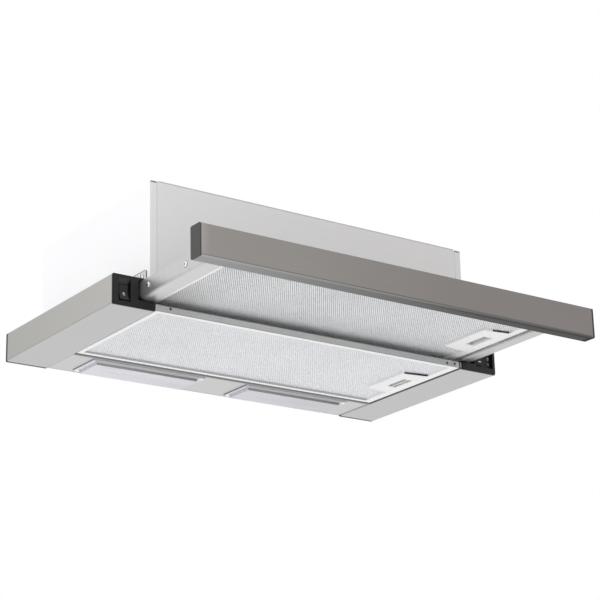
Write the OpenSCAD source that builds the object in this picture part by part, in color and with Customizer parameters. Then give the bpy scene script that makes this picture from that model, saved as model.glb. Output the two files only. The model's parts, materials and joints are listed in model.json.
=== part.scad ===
// Telescopic range hood for a wall cabinet, with its drawer pulled out.
// The origin is the centre of the four cabinet screws, in the plane of the wing tops.
// X runs across the hood, +Y to the wall, +Z up.

/* [Fixed body] */
// Overall width of the hood
hood_w = 598; // [560:1:898]
// Depth of the fixed body
base_d = 280; // [276:1:320]
// Height of the wings
base_h = 39; // [38:0.5:50]
// Width of each wing's underside
wing_w = 60; // [59:0.5:61]
// Thickness of the base and drawer sheet
sheet = 1; // [0.8:0.1:1.2]
// Outer radius of the sheet's bends
bend_r = 1.8; // [1.4:0.1:2.5]
// Height of the turned-up lip inside each wing
wing_lip_h = 10.5; // [10:0.1:11]
// Height of the front strip's top above the wings' undersides
strip_rise = 10.1; // [10:0.1:10.4]
// Height of the front strip's lower edge above the wings' undersides
strip_low = 2.2; // [1.5:0.1:3]
// Depth of the light panel
light_zone = 73; // [70:1:80]
// Height of the light panel above the wings' undersides
light_recess = 1.5; // [1:0.1:4]
// Gap between the lower filter and the light panel
light_gap = 5.5; // [4:0.5:8]

/* [Cabinet fixing] */
// Distance from the hood's sides to its cabinet screw holes
screw_inset = 24; // [20:1:40]
// Distance between the cabinet screws front to back
screw_span_y = 160; // [100:1:170]
// Diameter of the cabinet screw holes
screw_hole_d = 5; // [4:0.5:7]

/* [Motor box] */
// Step in from the hood's side to the box's side
box_inset = 51.5; // [51:0.5:52]
// Height of the box above the wings
box_h = 132; // [130:1:200]
// Thickness of the box sheet
box_sheet = 0.8; // [0.6:0.1:1]
// Outer radius of the box's top corners
box_corner_r = 2.5; // [2:0.5:8]
// Outer radius of the box sheet's other bends
box_bend_r = 1.2; // [1:0.1:1.8]
// Width of the side panels' front flanges
box_flange = 10; // [8:0.5:14]
// Seam between the front panel and those flanges
box_seam = 0.4; // [0.2:0.1:0.8]
// Thickness of the slide bracket plates
bracket_t = 1.2; // [1:0.1:1.5]
// Height of the slide bracket plates above the wings
bracket_rise = 15.5; // [12:0.5:20]

/* [Drawer] */
// How far the drawer stands out of its closed place
drawer_travel = 175.5; // [150:0.5:185]
// Gap that the closed drawer keeps to the end caps
close_gap = 0.5; // [0.3:0.1:1]
// Height of the front panel
panel_h = 40; // [39:0.5:50]
// Depth of the front panel
panel_t = 20; // [16:0.5:24]
// Thickness of the front panel's end caps
panel_cap_t = 2; // [1.5:0.1:3]
// Height of the rails' undersides above the wings' undersides
drawer_lift = 12; // [12:0.1:12.5]
// Height of the rails' outer walls
rail_wall_h = 23; // [22:0.5:24]
// Height of the rails' inner lips
rail_lip_h = 14; // [13.5:0.5:15]
// Outer radius of the bend between a rail's floor and its outer wall
rail_bend_r = 6.5; // [4:0.5:7]
// Gap between the rails and the end caps
rail_gap = 2.8; // [2:0.1:3.3]

/* [Telescopic slides] */
// Thickness of a slide
slide_t = 10.5; // [10:0.1:11]
// Height of a slide
slide_h = 20; // [19:0.5:21]
// Length of each slide member
slide_len = 198; // [180:1:198]
// Thickness of the slide members
slide_metal = 1.1; // [1:0.1:1.2]
// Running gap between the slide members
slide_play = 0.6; // [0.4:0.05:0.8]

/* [Grease filters] */
// Thickness of a filter
filter_t = 7.5; // [7.2:0.1:7.5]
// Gap between a filter and the lip that it hooks on
hook_gap = 2; // [1.9:0.1:2.4]
// Gap between a filter and the lip that it latches in
latch_gap = 3; // [2:0.1:3.4]
// Width of the frame's front, back and hook flanges
filter_flange = 6.5; // [5:0.5:8]
// Width of the frame's flange beside the latch
latch_flange = 11; // [10:0.5:14]
// Depth of the mesh inside the frame
mesh_recess = 3.4; // [3.2:0.1:3.5]
// Thickness of the filter's sheets
filter_metal = 0.8; // [0.6:0.1:0.9]
// Height of the lower filter above the wings' undersides
lower_recess = 1.4; // [1.2:0.1:1.4]
// Height of the drawer filter above the rails' undersides
drawer_recess = 4; // [3.6:0.1:4.4]
// Width of a filter's hooks
hook_w = 14; // [10:1:20]
// Distance between a filter's hooks
hook_span = 140; // [100:1:150]

/* [Filter latches] */
// Length of a latch plate on its wide side
latch_len = 90; // [76:1:96]
// Width of a latch plate
latch_w = 38; // [34:0.5:42]
// Taper of each end of a latch plate
latch_taper = 5.5; // [2:0.5:8]
// Length of the finger recess
finger_len = 38; // [30:1:45]
// Width of the finger recess
finger_w = 14.5; // [13.5:0.5:15]
// Width of a latch's nose
nose_w = 12; // [8:0.5:16]

/* [End caps and switches] */
// Thickness of an end cap's face
cap_face = 2; // [1.5:0.1:3]
// Wall of the end caps' plugs
cap_wall = 1.6; // [1.2:0.1:2]
// Fitting gap of the end caps
cap_fit = 0.25; // [0.25:0.05:0.35]
// Depth of an end cap's plug
cap_plug = 12; // [9:0.5:16]
// Depth of the switch recesses
well_d = 5; // [4.5:0.1:5.5]
// Width of the light rocker
rocker_w = 12.2; // [10:0.1:12.6]
// Length of the light rocker
rocker_len = 19.7; // [18:0.1:20]
// Tilt of the light rocker to each side
rocker_tilt = 8; // [5:0.5:9]
// Height of the rocker's axis above the wings' undersides
rocker_axis_h = 16.75; // [16.5:0.05:17]
// Height of the speed knob's middle at its lowest step
knob_low_h = 14.4; // [14:0.1:15]
// Distance between the speed steps
speed_step = 8; // [7:0.1:8.2]

/* [Lamps] */
// Width of a lamp cover
cover_w = 172; // [150:1:176]
// Depth of a lamp cover
cover_d = 58; // [50:1:60]
// Distance of each cover's middle from the hood's middle
cover_x = 119; // [110:1:122]
// How far a cover stands below the light panel
cover_bulge = 4.5; // [3:0.1:5]
// Width of a cover's rim at its front and its ends
cover_rim = 8; // [6:0.5:10]
// Largest diameter of a lamp
lamp_d = 35; // [30:1:38]
// Length of a lamp
lamp_len = 100; // [95:1:104]

/* [Blower] */
// Radius of the impeller
impeller_r = 46; // [42:0.5:47]
// Length of the impeller
impeller_len = 98; // [80:1:100]
// Number of impeller blades
blade_count = 36; // [20:1:48]
// Radial depth of a blade
blade_depth = 9; // [7:0.5:10]
// Gap between the impeller and the scroll's tongue
tongue_gap = 4; // [3:0.5:6]
// Radius of the scroll where it meets the outlet
scroll_end_r = 80; // [76:1:84]
// Wall of the scroll
scroll_wall = 2; // [1.5:0.1:2.5]
// Radius of the motor
motor_r = 32; // [28:0.5:32.5]
// Length of the motor
motor_len = 65; // [55:1:70]
// Radius of the motor shaft
shaft_r = 4; // [3:0.5:5]

/* [Outlet] */
// Outer diameter of the outlet collar
collar_d = 120; // [118:1:125]
// Height of the outlet collar
collar_h = 40; // [35:1:60]
// Wall of the outlet collar
collar_wall = 2; // [1.5:0.1:2.5]
// Distance of the collar's axis from the hood's middle, to the wall
collar_y = 20; // [10:1:25]
// Radius of the flaps' hinge pin
flap_pin_r = 1.5; // [1.2:0.1:2]
// Thickness of a flap
flap_t = 1.2; // [1:0.1:1.5]
// Radius of the cable gland's bore
gland_bore_r = 4; // [3:0.1:4.5]

/* [Hidden] */
$fn = 48;
// Steps of a bend, and of the wider bend of a rail
bend_steps = 4;
rail_bend_steps = 8;
// Overlap that joins two parts of one solid, and a cut's run past a face
join = 0.5;
past = 1;

// Planes and lines that pieces share
half_w = hood_w / 2;
front_y = -base_d / 2;
back_y = base_d / 2;
under_z = -base_h;
lip_x = half_w - wing_w;
box_x = half_w - box_inset;
bracket_x = box_x + bracket_t;
rail_x = bracket_x + slide_t + sheet;
cap_cut_x = rail_x + rail_gap;
box_in_y = back_y - box_sheet;
box_low_z = join;
lap_z = box_h - box_sheet;
wall_top_z = lap_z - box_corner_r;
seam_x = box_x - box_flange;
skirt_z = under_z + drawer_lift + sheet + past;
skirt_y = front_y + cap_face + 5;
strip_top_z = under_z + strip_rise;
strip_low_z = under_z + strip_low;
strip_return = 9 * sheet;
left_hole_in = 21;
middle_hole_in = 24.4;
right_hole_in = 11.3;

// Drawer, pulled out
panel_back_y = front_y - close_gap - drawer_travel;
panel_front_y = panel_back_y - panel_t;
rail_z = under_z + drawer_lift;
rail_top_z = rail_z + rail_wall_h;
rail_front_y = panel_back_y + sheet;
filter_gap = 0.5;
filter_d = base_d - sheet - filter_gap - light_gap - light_zone;
drawer_filter_y = rail_front_y + 5.5;
drawer_filter_z = rail_z + drawer_recess;
rear_bar_y = drawer_filter_y + filter_d + filter_gap;
rail_back_y = rear_bar_y + sheet;

// Filters
filter_x0 = hook_gap - lip_x;
filter_x1 = lip_x - latch_gap;
lower_filter_y = front_y + sheet + filter_gap;
lower_filter_z = under_z + lower_recess;
light_y = lower_filter_y + filter_d + light_gap;
hook_t = 1.2;
hook_lift = 2.4;
hook_slot_half = 1.6;
hook_reach = 2;
latch_x1 = filter_x1 - latch_flange;
latch_x0 = latch_x1 - latch_w;
finger_x1 = latch_x1 - 5.5;
finger_x0 = finger_x1 - finger_w;
pocket_h = 6;
pocket_wall = 1;
tab_t = 3;
tab_gap = 0.5;
nose_t = 1.7;
nose_lift = 1.3;
nose_gap = 0.3;
nose_bite = 2;
nose_short = 0.3;

// Slides, from the box outwards
slide_z = rail_z + sheet + 2 + slide_h / 2;
slide_y = front_y + cap_face + 4;
slide_in_x0 = bracket_x + slide_metal + slide_play;
slide_in_h = slide_h - 2 * (slide_metal + slide_play);
slide_run_h = slide_in_h - 2 * (slide_metal + slide_play);
slide_out_x = rail_x - sheet;

// End caps
cap_bar_z = -2.2;
cap_arm_z = rail_z - 1.2;
rocker_x = half_w - 17.3;
rocker_z = under_z + rocker_axis_h;
rocker_reach = 8;
rocker_y = front_y + 2 + rocker_reach;
rocker_play = 0.3;
rocker_pin_r = 1.6;
rocker_pin_play = 0.05;
well_back_y = front_y + well_d;
well_block_y = well_back_y + cap_face;
well_room = 1.9;
knob_x = half_w - 26.4;
knob_w = 9.2;
knob_hh = 3.6;
knob_z = under_z + knob_low_h;
stem_w = 3.2;
stem_play = 0.4;
switch_travel = 2 * speed_step;

// Lamps
light_z = under_z + light_recess;
window_in = 4;
cover_wall = 1.5;
cover_rim_t = 1.2;
cover_back_rim = 2;
snap_h = 8;
tray_wall = 0.8;
tray_edge = 2;
tray_h = 46;
cover_y = light_y + sheet + 5 + cover_d / 2;
lamp_z = light_z + sheet + snap_h + lamp_d / 2 + 1;
socket_r = 7;
socket_len = 24;
lamp_play = 0.3;

// Blower and outlet
scroll_half_len = impeller_len / 2 + 6;
tongue_a = 135;
tongue_r = impeller_r + tongue_gap;
scroll_y = collar_y - (scroll_end_r + tongue_r * cos(tongue_a)) / 2;
scroll_z = 73;
inlet_r = impeller_r - 5;
bell_r = 3;
hub_r = 9;
hub_len = 24;
disc_t = 2;
ring_t = 2;
ring_depth = 3.5;
shaft_play = 0.05;
press_play = 0.02;
motor_x1 = -disc_t / 2 - hub_len / 2 - 17;
motor_x0 = motor_x1 - motor_len;
spider_t = 4;
spider_len = 10;
collar_r = collar_d / 2;
collar_in_r = collar_r - collar_wall;
collar_flange_r = collar_r + 15;
collar_base = 2;
outlet_hole_r = collar_in_r - 4;
flap_z = box_h + collar_base + 10;
knuckle_r = flap_pin_r + 1.5;
knuckle_w = 14;
knuckle_gap = 0.3;
flap_play = 0.8;
pin_play = 0.05;
lug_t = 4;
gland_x = box_x - 47.5;
gland_y = back_y - 40;
gland_r = 8;
nut_r = 12;
terminal_w = 53;
terminal_d = 48;
terminal_h = 26;
capacitor_r = 15;
capacitor_len = 46;
capacitor_side_in = 87.5;
capacitor_back_in = 70;
capacitor_x = capacitor_side_in - box_x;
capacitor_y = back_y - capacitor_back_in;

// Unit vector along v
function unit(v) = v / norm(v);
// v turned a quarter turn to the left
function turned(v) = [-v[1], v[0]];
// Points round one bend, in pairs: on the path and on the sheet's other face
function bend_pairs(a, b, c, t, r, steps) =
    let(u = unit(b - a), v = unit(c - b),
        s = sign(u[0] * v[1] - u[1] * v[0]),
        turn = acos(u * v),
        near = s > 0 ? r : r - t,
        centre = b - near * tan(turn / 2) * u + s * near * turned(u),
        start = atan2(-s * turned(u)[1], -s * turned(u)[0]))
    [for (i = [0:steps])
        let(w = start + s * turn * i / steps, d = [cos(w), sin(w)])
        [centre + near * d, centre + (near - s * t) * d]];
// The same pairs along a whole path, with one radius or a list of them for r
function path_pairs(path, t, r, steps) =
    let(n = len(path) - 1)
    [for (i = [0:n])
        each i == 0 ? [[path[0], path[0] + t * turned(unit(path[1] - path[0]))]]
            : i == n ? [[path[n], path[n] + t * turned(unit(path[n] - path[n - 1]))]]
            : bend_pairs(path[i - 1], path[i], path[i + 1], t, is_list(r) ? r[i - 1] : r,
                steps)];

// Section of a folded sheet: the path is one face and the sheet lies to its left
module folded(path, t = sheet, r = bend_r, steps = bend_steps) {
    pairs = path_pairs(path, t, r, steps);
    near = [for (p = pairs) p[0]];
    far = [for (i = [len(pairs) - 1:-1:0]) pairs[i][1]];
    polygon(concat(near, far));
}

// The plate inside a folded path
module filled(path, r = bend_r, steps = bend_steps) {
    polygon([for (p = path_pairs(path, sheet, r, steps)) p[0]]);
}

// A section in X and Z carried along Y
module run_y(y0, y1) {
    translate([0, y1, 0]) rotate([90, 0, 0]) linear_extrude(y1 - y0) children();
}

// A section in Y and Z carried along X
module run_x(x0, x1) {
    translate([x0, 0, 0]) rotate([90, 0, 90]) linear_extrude(x1 - x0) children();
}

// A box from its lowest corner to its highest
module block(low, high) {
    translate(low) cube(high - low);
}

// A rod along X
module rod_x(x0, x1, y, z, r) {
    translate([x0, y, z]) rotate([0, 90, 0]) cylinder(h = x1 - x0, r = r);
}

// Right-hand geometry as drawn, or mirrored to the left
module side(s) {
    if (s < 0) mirror([1, 0, 0]) children();
    else children();
}

// Pan-head screw, head above z = 0 and shank below
module pan_screw(head_r, head_h, shank_r, shank_len) {
    rotate_extrude($fn = 32) polygon([[0, head_h], [0.55 * head_r, head_h],
        [0.88 * head_r, 0.7 * head_h], [head_r, 0.25 * head_h], [head_r, 0],
        [shank_r, 0], [shank_r, -shank_len], [0, -shank_len]]);
}

// Slots in a lip for the hooks of a filter
module hook_slots(filter_y, filter_z) {
    for (k = [-1, 1])
        translate([lip_x - past, filter_y + filter_d / 2 + k * hook_span / 2 - hook_w / 2 - nose_gap,
            filter_z + hook_lift - hook_slot_half])
            cube([sheet + 2 * past, hook_w + 2 * nose_gap, 2 * hook_slot_half]);
}

// Slot in a lip that keeps a latch's nose
module keeper_slot(filter_y, filter_z) {
    translate([lip_x - past, filter_y + filter_d / 2 - nose_w / 2 - nose_gap,
        filter_z + nose_lift - nose_gap])
        cube([sheet + 2 * past, nose_w + 2 * nose_gap, nose_t + 2 * nose_gap]);
}

// Wing of the fixed body: one folded sheet, open inside for the slide, with a closed back end
module wing(s) {
    color("#b9b7b0") side(s) difference() {
        union() {
            run_y(front_y + cap_face, back_y)
                folded([[lip_x, under_z + wing_lip_h], [lip_x, under_z], [half_w, under_z],
                    [half_w, 0], [bracket_x, 0]]);
            block([half_w - sheet, front_y, under_z + bend_r],
                [half_w, front_y + cap_face, -bend_r]);
            block([lip_x + sheet, back_y - sheet, under_z + sheet],
                [half_w - sheet, back_y, -sheet]);
        }
        for (k = [-1, 1])
            translate([half_w - screw_inset, k * screw_span_y / 2, -sheet - past])
                cylinder(h = sheet + 2 * past, r = screw_hole_d / 2);
        if (s < 0) hook_slots(lower_filter_y, lower_filter_z);
        else keeper_slot(lower_filter_y, lower_filter_z);
    }
}

// Strip between the wings in front of the lower filter
module front_strip() {
    hole_r = 0.8;
    color("#c9c8c4") difference() {
        run_x(-lip_x, lip_x)
            folded([[front_y + strip_return, strip_top_z], [front_y, strip_top_z],
                [front_y, strip_low_z]]);
        for (p = [[left_hole_in - lip_x, 4.4], [lip_x - middle_hole_in, 2.6],
                [lip_x - right_hole_in, 3.4]])
            translate([p[0], front_y - past, strip_low_z + p[1]]) rotate([-90, 0, 0])
                cylinder(h = sheet + 2 * past, r = hole_r, $fn = 24);
    }
}

// Panel across the back underside, with a window for each lamp
module light_panel() {
    window_w = cover_w - 2 * window_in;
    window_d = cover_d - 2 * window_in;
    color("#c4c4c2") difference() {
        run_x(-lip_x, lip_x)
            folded([[light_y, light_z + strip_return], [light_y, light_z], [box_in_y, light_z],
                [box_in_y, light_z + strip_return]]);
        for (s = [-1, 1])
            block([s * cover_x - window_w / 2, cover_y - window_d / 2, light_z - past],
                [s * cover_x + window_w / 2, cover_y + window_d / 2, light_z + sheet + past]);
    }
}

// Upright plate on the side of the box that carries the fixed slide member
module slide_bracket(s) {
    round_r = 3;
    top_z = bracket_rise;
    color("#d9d9d6") side(s) difference() {
        run_x(box_x, bracket_x) union() {
            translate([skirt_y, skirt_z])
                square([back_y - sheet - skirt_y, top_z - round_r - skirt_z]);
            translate([skirt_y + round_r, top_z - round_r - join])
                square([back_y - sheet - skirt_y - round_r, round_r + join]);
            translate([skirt_y + round_r, top_z - round_r]) circle(r = round_r);
        }
        bracket_screw_holes();
    }
}

bracket_screw_r = 1.5;
bracket_screw_at = [[15.4, 7.5], [22.6, 10.9], [200, 9], [240, 9]];
module bracket_screw_holes() {
    for (p = bracket_screw_at)
        rod_x(box_x - box_sheet - past, bracket_x + past, front_y + p[0], p[1],
            bracket_screw_r + pin_play);
}

// Side panel of the motor box, with its front flange, rounded top edge and lap
module side_panel(s) {
    lap_w = 14;
    color("#f2f2f1") side(s) difference() {
        union() {
            translate([0, 0, box_low_z]) linear_extrude(wall_top_z - box_low_z)
                folded([[seam_x, front_y], [box_x, front_y], [box_x, back_y]],
                    box_sheet, box_bend_r);
            block([box_x - box_sheet, skirt_y, skirt_z],
                [box_x, back_y - sheet, box_low_z + join]);
            run_y(front_y, back_y)
                folded([[box_x, wall_top_z - 2], [box_x, lap_z], [seam_x + join, lap_z]],
                    box_sheet, box_corner_r);
            block([seam_x - lap_w, front_y + 14, lap_z - box_sheet],
                [seam_x + 2 * join, box_in_y, lap_z]);
        }
        bracket_screw_holes();
        top_screw_holes();
    }
}

// Front panel of the motor box, with returns along its top and bottom
module box_front_panel() {
    edge_x = seam_x - box_seam;
    color("#cfcfcd") run_x(-edge_x, edge_x)
        folded([[front_y + box_flange, lap_z], [front_y, lap_z], [front_y, box_low_z],
            [front_y + box_flange, box_low_z]], box_sheet, box_bend_r);
}

// Back panel, which also closes the base between the wings
module box_back_panel() {
    color("#d0d0ce") run_y(box_in_y, back_y) polygon([
        [-lip_x, light_z], [lip_x, light_z], [lip_x, box_low_z],
        [box_x - box_sheet, box_low_z], [box_x - box_sheet, wall_top_z],
        [box_x - box_sheet - box_corner_r, lap_z - box_sheet],
        [box_sheet + box_corner_r - box_x, lap_z - box_sheet], [box_sheet - box_x, wall_top_z],
        [box_sheet - box_x, box_low_z],
        [-lip_x, box_low_z]]);
}

top_screw_at = [[-100, -1], [-100, 1], [100, -1], [100, 1]];
module top_screw_holes() {
    for (p = top_screw_at)
        translate([p[1] * (seam_x - 7), p[0], lap_z - box_sheet - past])
            cylinder(h = 2 * box_sheet + 2 * past, r = bracket_screw_r + pin_play);
}

// Top panel, with the outlet and cable holes
module box_top_panel() {
    edge_x = seam_x - 2;
    color("#d0d0ce") difference() {
        block([-edge_x, front_y, lap_z], [edge_x, back_y, box_h]);
        translate([0, collar_y, lap_z - past])
            cylinder(h = box_sheet + 2 * past, r = outlet_hole_r, $fn = 96);
        translate([gland_x, gland_y, lap_z - past])
            cylinder(h = box_sheet + 2 * past, r = gland_r + 0.2);
        top_screw_holes();
    }
}

// Screws of the box, all in one group
module casing_screws() {
    color("#e3e3e0") {
        for (s = [-1, 1], p = bracket_screw_at)
            translate([s * bracket_x, front_y + p[0], p[1]]) rotate([0, 90 * s, 0])
                pan_screw(2.7, 1.6, bracket_screw_r, bracket_t + box_sheet + 2);
        for (p = top_screw_at)
            translate([p[1] * (seam_x - 7), p[0], box_h])
                pan_screw(2.7, 1.6, bracket_screw_r, 2 * box_sheet + 2);
    }
}

// Outline of an end cap, with the cut-out that the drawer's rail passes
module cap_face_outline(arm_x) {
    arm_r = 2.5;
    difference() {
        polygon([[arm_x, under_z], [half_w - sheet, under_z], [half_w - sheet, 0],
            [bracket_x + 1.3, 0], [bracket_x + 1.3, cap_bar_z], [cap_cut_x, cap_bar_z],
            [cap_cut_x, cap_arm_z], [arm_x, cap_arm_z]]);
        for (k = [0, 1])
            translate([arm_x + arm_r, k == 0 ? under_z + arm_r : cap_arm_z - arm_r])
                difference() {
                    translate([-arm_r - past, k == 0 ? -arm_r - past : 0])
                        square([arm_r + past, arm_r + past]);
                    circle(r = arm_r);
                }
    }
}

// Outline of the cap's plug inside the wing, moved in from the wing's sheet
module cap_plug_outline(inset) {
    polygon([[lip_x + inset, under_z + inset], [half_w - sheet - inset, under_z + inset],
        [half_w - sheet - inset, -inset], [cap_cut_x, -inset],
        [cap_cut_x, cap_arm_z - inset / 4], [lip_x + inset, cap_arm_z - inset / 4]]);
}

// Black cap that closes a wing's front end and carries a switch
module end_cap(s) {
    inset = sheet + cap_fit;
    well_x0 = s < 0 ? rocker_x - 7.9 : knob_x - 6.6;
    well_x1 = s < 0 ? rocker_x + 8.7 : knob_x + 22.4;
    color("#2d2f2f") side(s) difference() {
        union() {
            run_y(front_y, front_y + cap_face) cap_face_outline(lip_x + (s < 0 ? 0.5 : 2));
            run_y(front_y + cap_face, front_y + cap_face + cap_plug) difference() {
                cap_plug_outline(inset);
                cap_plug_outline(inset + cap_wall);
            }
            run_y(front_y + cap_face, well_block_y) difference() {
                cap_plug_outline(inset);
                translate([lip_x, under_z])
                    square([min(well_x0 - 3, cap_cut_x + cap_wall) - lip_x, base_h]);
            }
        }
        if (s < 0) rocker_well(well_x0, well_x1);
        else knob_well(well_x0, well_x1);
    }
}

// Sloped recess round the light rocker, and the opening that it swings in
module rocker_well(x0, x1) {
    half = rocker_w / 2 + rocker_play;
    hull() {
        block([x0, front_y - past, under_z + 6.3], [x1, front_y, -3.8]);
        block([rocker_x - half, well_back_y, rocker_z - rocker_len / 2 - well_room],
            [rocker_x + half, well_back_y + 0.01, rocker_z + rocker_len / 2 + well_room]);
    }
    block([rocker_x - half, well_back_y - past, rocker_z - rocker_len / 2 - well_room],
        [rocker_x + half, well_block_y + past, rocker_z + rocker_len / 2 + well_room]);
}

// Recess of the speed switch, with the slot that its stem slides in
module knob_well(x0, x1) {
    low = knob_z - knob_hh - 2.4;
    high = knob_z + switch_travel + knob_hh + 1;
    block([x0, front_y - past, low], [x1, well_back_y, high]);
    block([knob_x - stem_w / 2 - stem_play, well_back_y - past, knob_z - stem_w / 2 - stem_play],
        [knob_x + stem_w / 2 + stem_play, well_block_y + past,
            knob_z + switch_travel + stem_w / 2 + stem_play]);
}

// Housing of the light switch behind the end cap, with the rocker's bearing holes
module light_switch_body() {
    half = rocker_w / 2 + rocker_play;
    color("#1f2020") side(-1) difference() {
        block([rocker_x - half - 1.9, well_block_y, rocker_z - rocker_len / 2 - 3.5],
            [rocker_x + half + 1.9, well_block_y + 22, rocker_z + rocker_len / 2 + 3.5]);
        block([rocker_x - half, well_block_y - past, rocker_z - rocker_len / 2 - well_room],
            [rocker_x + half, rocker_y + 7, rocker_z + rocker_len / 2 + well_room]);
        rod_x(rocker_x - half - 3, rocker_x + half + 3, rocker_y, rocker_z,
            rocker_pin_r + rocker_pin_play);
    }
}

// Light rocker, shown switched off with its top pressed in
module light_rocker() {
    nose = 1.6;
    color("#343636") side(-1) translate([rocker_x, rocker_y, rocker_z])
        rotate([-rocker_tilt, 0, 0]) union() {
            run_x(-rocker_w / 2, rocker_w / 2) polygon([
                [-rocker_reach, -rocker_len / 2], [-rocker_reach + nose, 0],
                [-rocker_reach, rocker_len / 2], [-rocker_reach + 3, rocker_len / 2],
                [0, rocker_pin_r + 2], [rocker_pin_r + 2, 0], [0, -rocker_pin_r - 2],
                [-rocker_reach + 3, -rocker_len / 2]]);
            rod_x(-rocker_w / 2 - rocker_play - 1.6, rocker_w / 2 + rocker_play + 1.6, 0, 0,
                rocker_pin_r);
        }
}

// Housing of the speed switch behind the end cap
module speed_switch_body() {
    color("#1f2020") side(1) difference() {
        block([knob_x - 8, well_block_y, knob_z - knob_hh - 2],
            [knob_x + 9, well_block_y + 20, knob_z + switch_travel + knob_hh + 1]);
        block([knob_x - stem_w / 2 - stem_play, well_block_y - past,
                knob_z - stem_w / 2 - stem_play],
            [knob_x + stem_w / 2 + stem_play, well_block_y + 6,
                knob_z + switch_travel + stem_w / 2 + stem_play]);
    }
}

// Speed knob with a ribbed face, at its lowest step
module speed_knob() {
    back_face = well_back_y - 0.3;
    front_face = front_y + 0.8;
    color("#3a3c3c") side(1) union() {
        run_x(knob_x - knob_w / 2, knob_x + knob_w / 2) polygon([
            [back_face, knob_z - knob_hh], [front_face + 1, knob_z - knob_hh],
            [front_face, knob_z - 1.4], [front_face + 0.8, knob_z],
            [front_face, knob_z + 1.4], [front_face + 1, knob_z + knob_hh],
            [back_face, knob_z + knob_hh]]);
        block([knob_x - stem_w / 2, back_face - join, knob_z - stem_w / 2],
            [knob_x + stem_w / 2, well_block_y + 3, knob_z + stem_w / 2]);
    }
}

// Fixed member of a telescopic slide, on the bracket
module slide_fixed(s) {
    open_x = slide_out_x - slide_metal - slide_play - 1;
    color("#c2c4c6") side(s) run_y(slide_y, slide_y + slide_len)
        folded([[open_x, slide_z + slide_h / 2], [bracket_x, slide_z + slide_h / 2],
            [bracket_x, slide_z - slide_h / 2], [open_x, slide_z - slide_h / 2]], slide_metal);
}

// Middle member, half way along its travel
module slide_middle(s) {
    y0 = slide_y - drawer_travel / 2;
    open_x = slide_out_x - slide_metal - slide_play;
    color("#b4b7ba") side(s) run_y(y0, y0 + slide_len)
        folded([[open_x, slide_z + slide_in_h / 2], [slide_in_x0, slide_z + slide_in_h / 2],
            [slide_in_x0, slide_z - slide_in_h / 2], [open_x, slide_z - slide_in_h / 2]],
            slide_metal);
}

// Member on the drawer's rail
module slide_drawer(s) {
    y0 = slide_y - drawer_travel;
    open_x = slide_in_x0 + slide_metal + slide_play;
    color("#c2c4c6") side(s) difference() {
        run_y(y0, y0 + slide_len)
            folded([[open_x, slide_z - slide_run_h / 2], [slide_out_x, slide_z - slide_run_h / 2],
                [slide_out_x, slide_z + slide_run_h / 2], [open_x, slide_z + slide_run_h / 2]],
                slide_metal);
        rail_screw_holes();
    }
}

rail_screw_r = 2;
rail_screw_at = [73, 158];
module rail_screw_holes() {
    for (y = rail_screw_at)
        rod_x(slide_out_x - slide_metal - past, rail_x + past, panel_back_y + y, slide_z,
            rail_screw_r + pin_play);
}

// Rail along the side of the drawer: outer wall, floor and inner lip
module drawer_rail(s) {
    color("#d2d2cf") side(s) difference() {
        run_y(rail_front_y, rail_back_y)
            folded([[lip_x, rail_z + rail_lip_h], [lip_x, rail_z], [rail_x, rail_z],
                [rail_x, rail_top_z]], sheet, [bend_r, rail_bend_r], rail_bend_steps);
        rail_screw_holes();
        if (s < 0) hook_slots(drawer_filter_y, drawer_filter_z);
        else keeper_slot(drawer_filter_y, drawer_filter_z);
    }
}

bar_screw_r = 1.7;
bar_screw_x = [for (k = [-1.2, -0.4, 0.4, 1.2]) k * half_w * 0.56];
bar_screw_z = rail_z + 4;
module bar_screw_holes() {
    for (x = bar_screw_x)
        translate([x, panel_back_y - sheet - past, bar_screw_z]) rotate([-90, 0, 0])
            cylinder(h = 2 * sheet + 2 * past, r = bar_screw_r + pin_play);
}

// Bar across the drawer's front, behind the front panel
module drawer_front_bar() {
    color("#cfcfcc") difference() {
        run_y(panel_back_y, rail_front_y) filled([[-rail_x, rail_top_z], [-rail_x, rail_z],
            [rail_x, rail_z], [rail_x, rail_top_z]], rail_bend_r, rail_bend_steps);
        bar_screw_holes();
    }
}

// Bar across the drawer's back
module drawer_rear_bar() {
    color("#cfcfcc")
        block([-lip_x, rear_bar_y, rail_z], [lip_x, rail_back_y, rail_z + rail_lip_h]);
}

// Screws of the drawer: two in each rail and four in the front bar
module drawer_screws() {
    color("#e3e3e0") {
        for (s = [-1, 1], y = rail_screw_at)
            translate([s * rail_x, panel_back_y + y, slide_z]) rotate([0, 90 * s, 0])
                pan_screw(3.6, 0.5 * rail_gap, rail_screw_r, sheet + slide_metal);
        for (x = bar_screw_x)
            translate([x, rail_front_y, bar_screw_z]) rotate([-90, 0, 0])
                pan_screw(3, 1.8, bar_screw_r, 2 * sheet + 2);
    }
}

panel_edge_x = half_w - panel_cap_t;
panel_top_z = under_z + panel_h;
panel_low_lip = drawer_lift + 8;
panel_high_lip = 10;
panel_path = [[panel_back_y, panel_top_z - panel_high_lip], [panel_back_y, panel_top_z],
    [panel_front_y, panel_top_z], [panel_front_y, under_z],
    [panel_back_y, under_z], [panel_back_y, under_z + panel_low_lip]];
// Front panel: a brushed sheet folded round the top and bottom, with lips at its back
module front_panel() {
    color("#8f8b86") difference() {
        run_x(-panel_edge_x, panel_edge_x) folded(panel_path);
        bar_screw_holes();
    }
}

// Plastic cap in each end of the front panel
module panel_cap(s) {
    plug = 8;
    inset = sheet + cap_fit;
    color("#55564f") side(s) union() {
        run_x(panel_edge_x, half_w) filled(panel_path);
        run_x(panel_edge_x - plug, panel_edge_x) difference() {
            translate([panel_front_y + inset, under_z + inset])
                square([panel_t - 2 * inset, panel_h - 2 * inset]);
            translate([panel_front_y + inset + cap_wall, under_z + inset + cap_wall])
                square([panel_t - 2 * (inset + cap_wall), panel_h - 2 * (inset + cap_wall)]);
        }
    }
}

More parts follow.
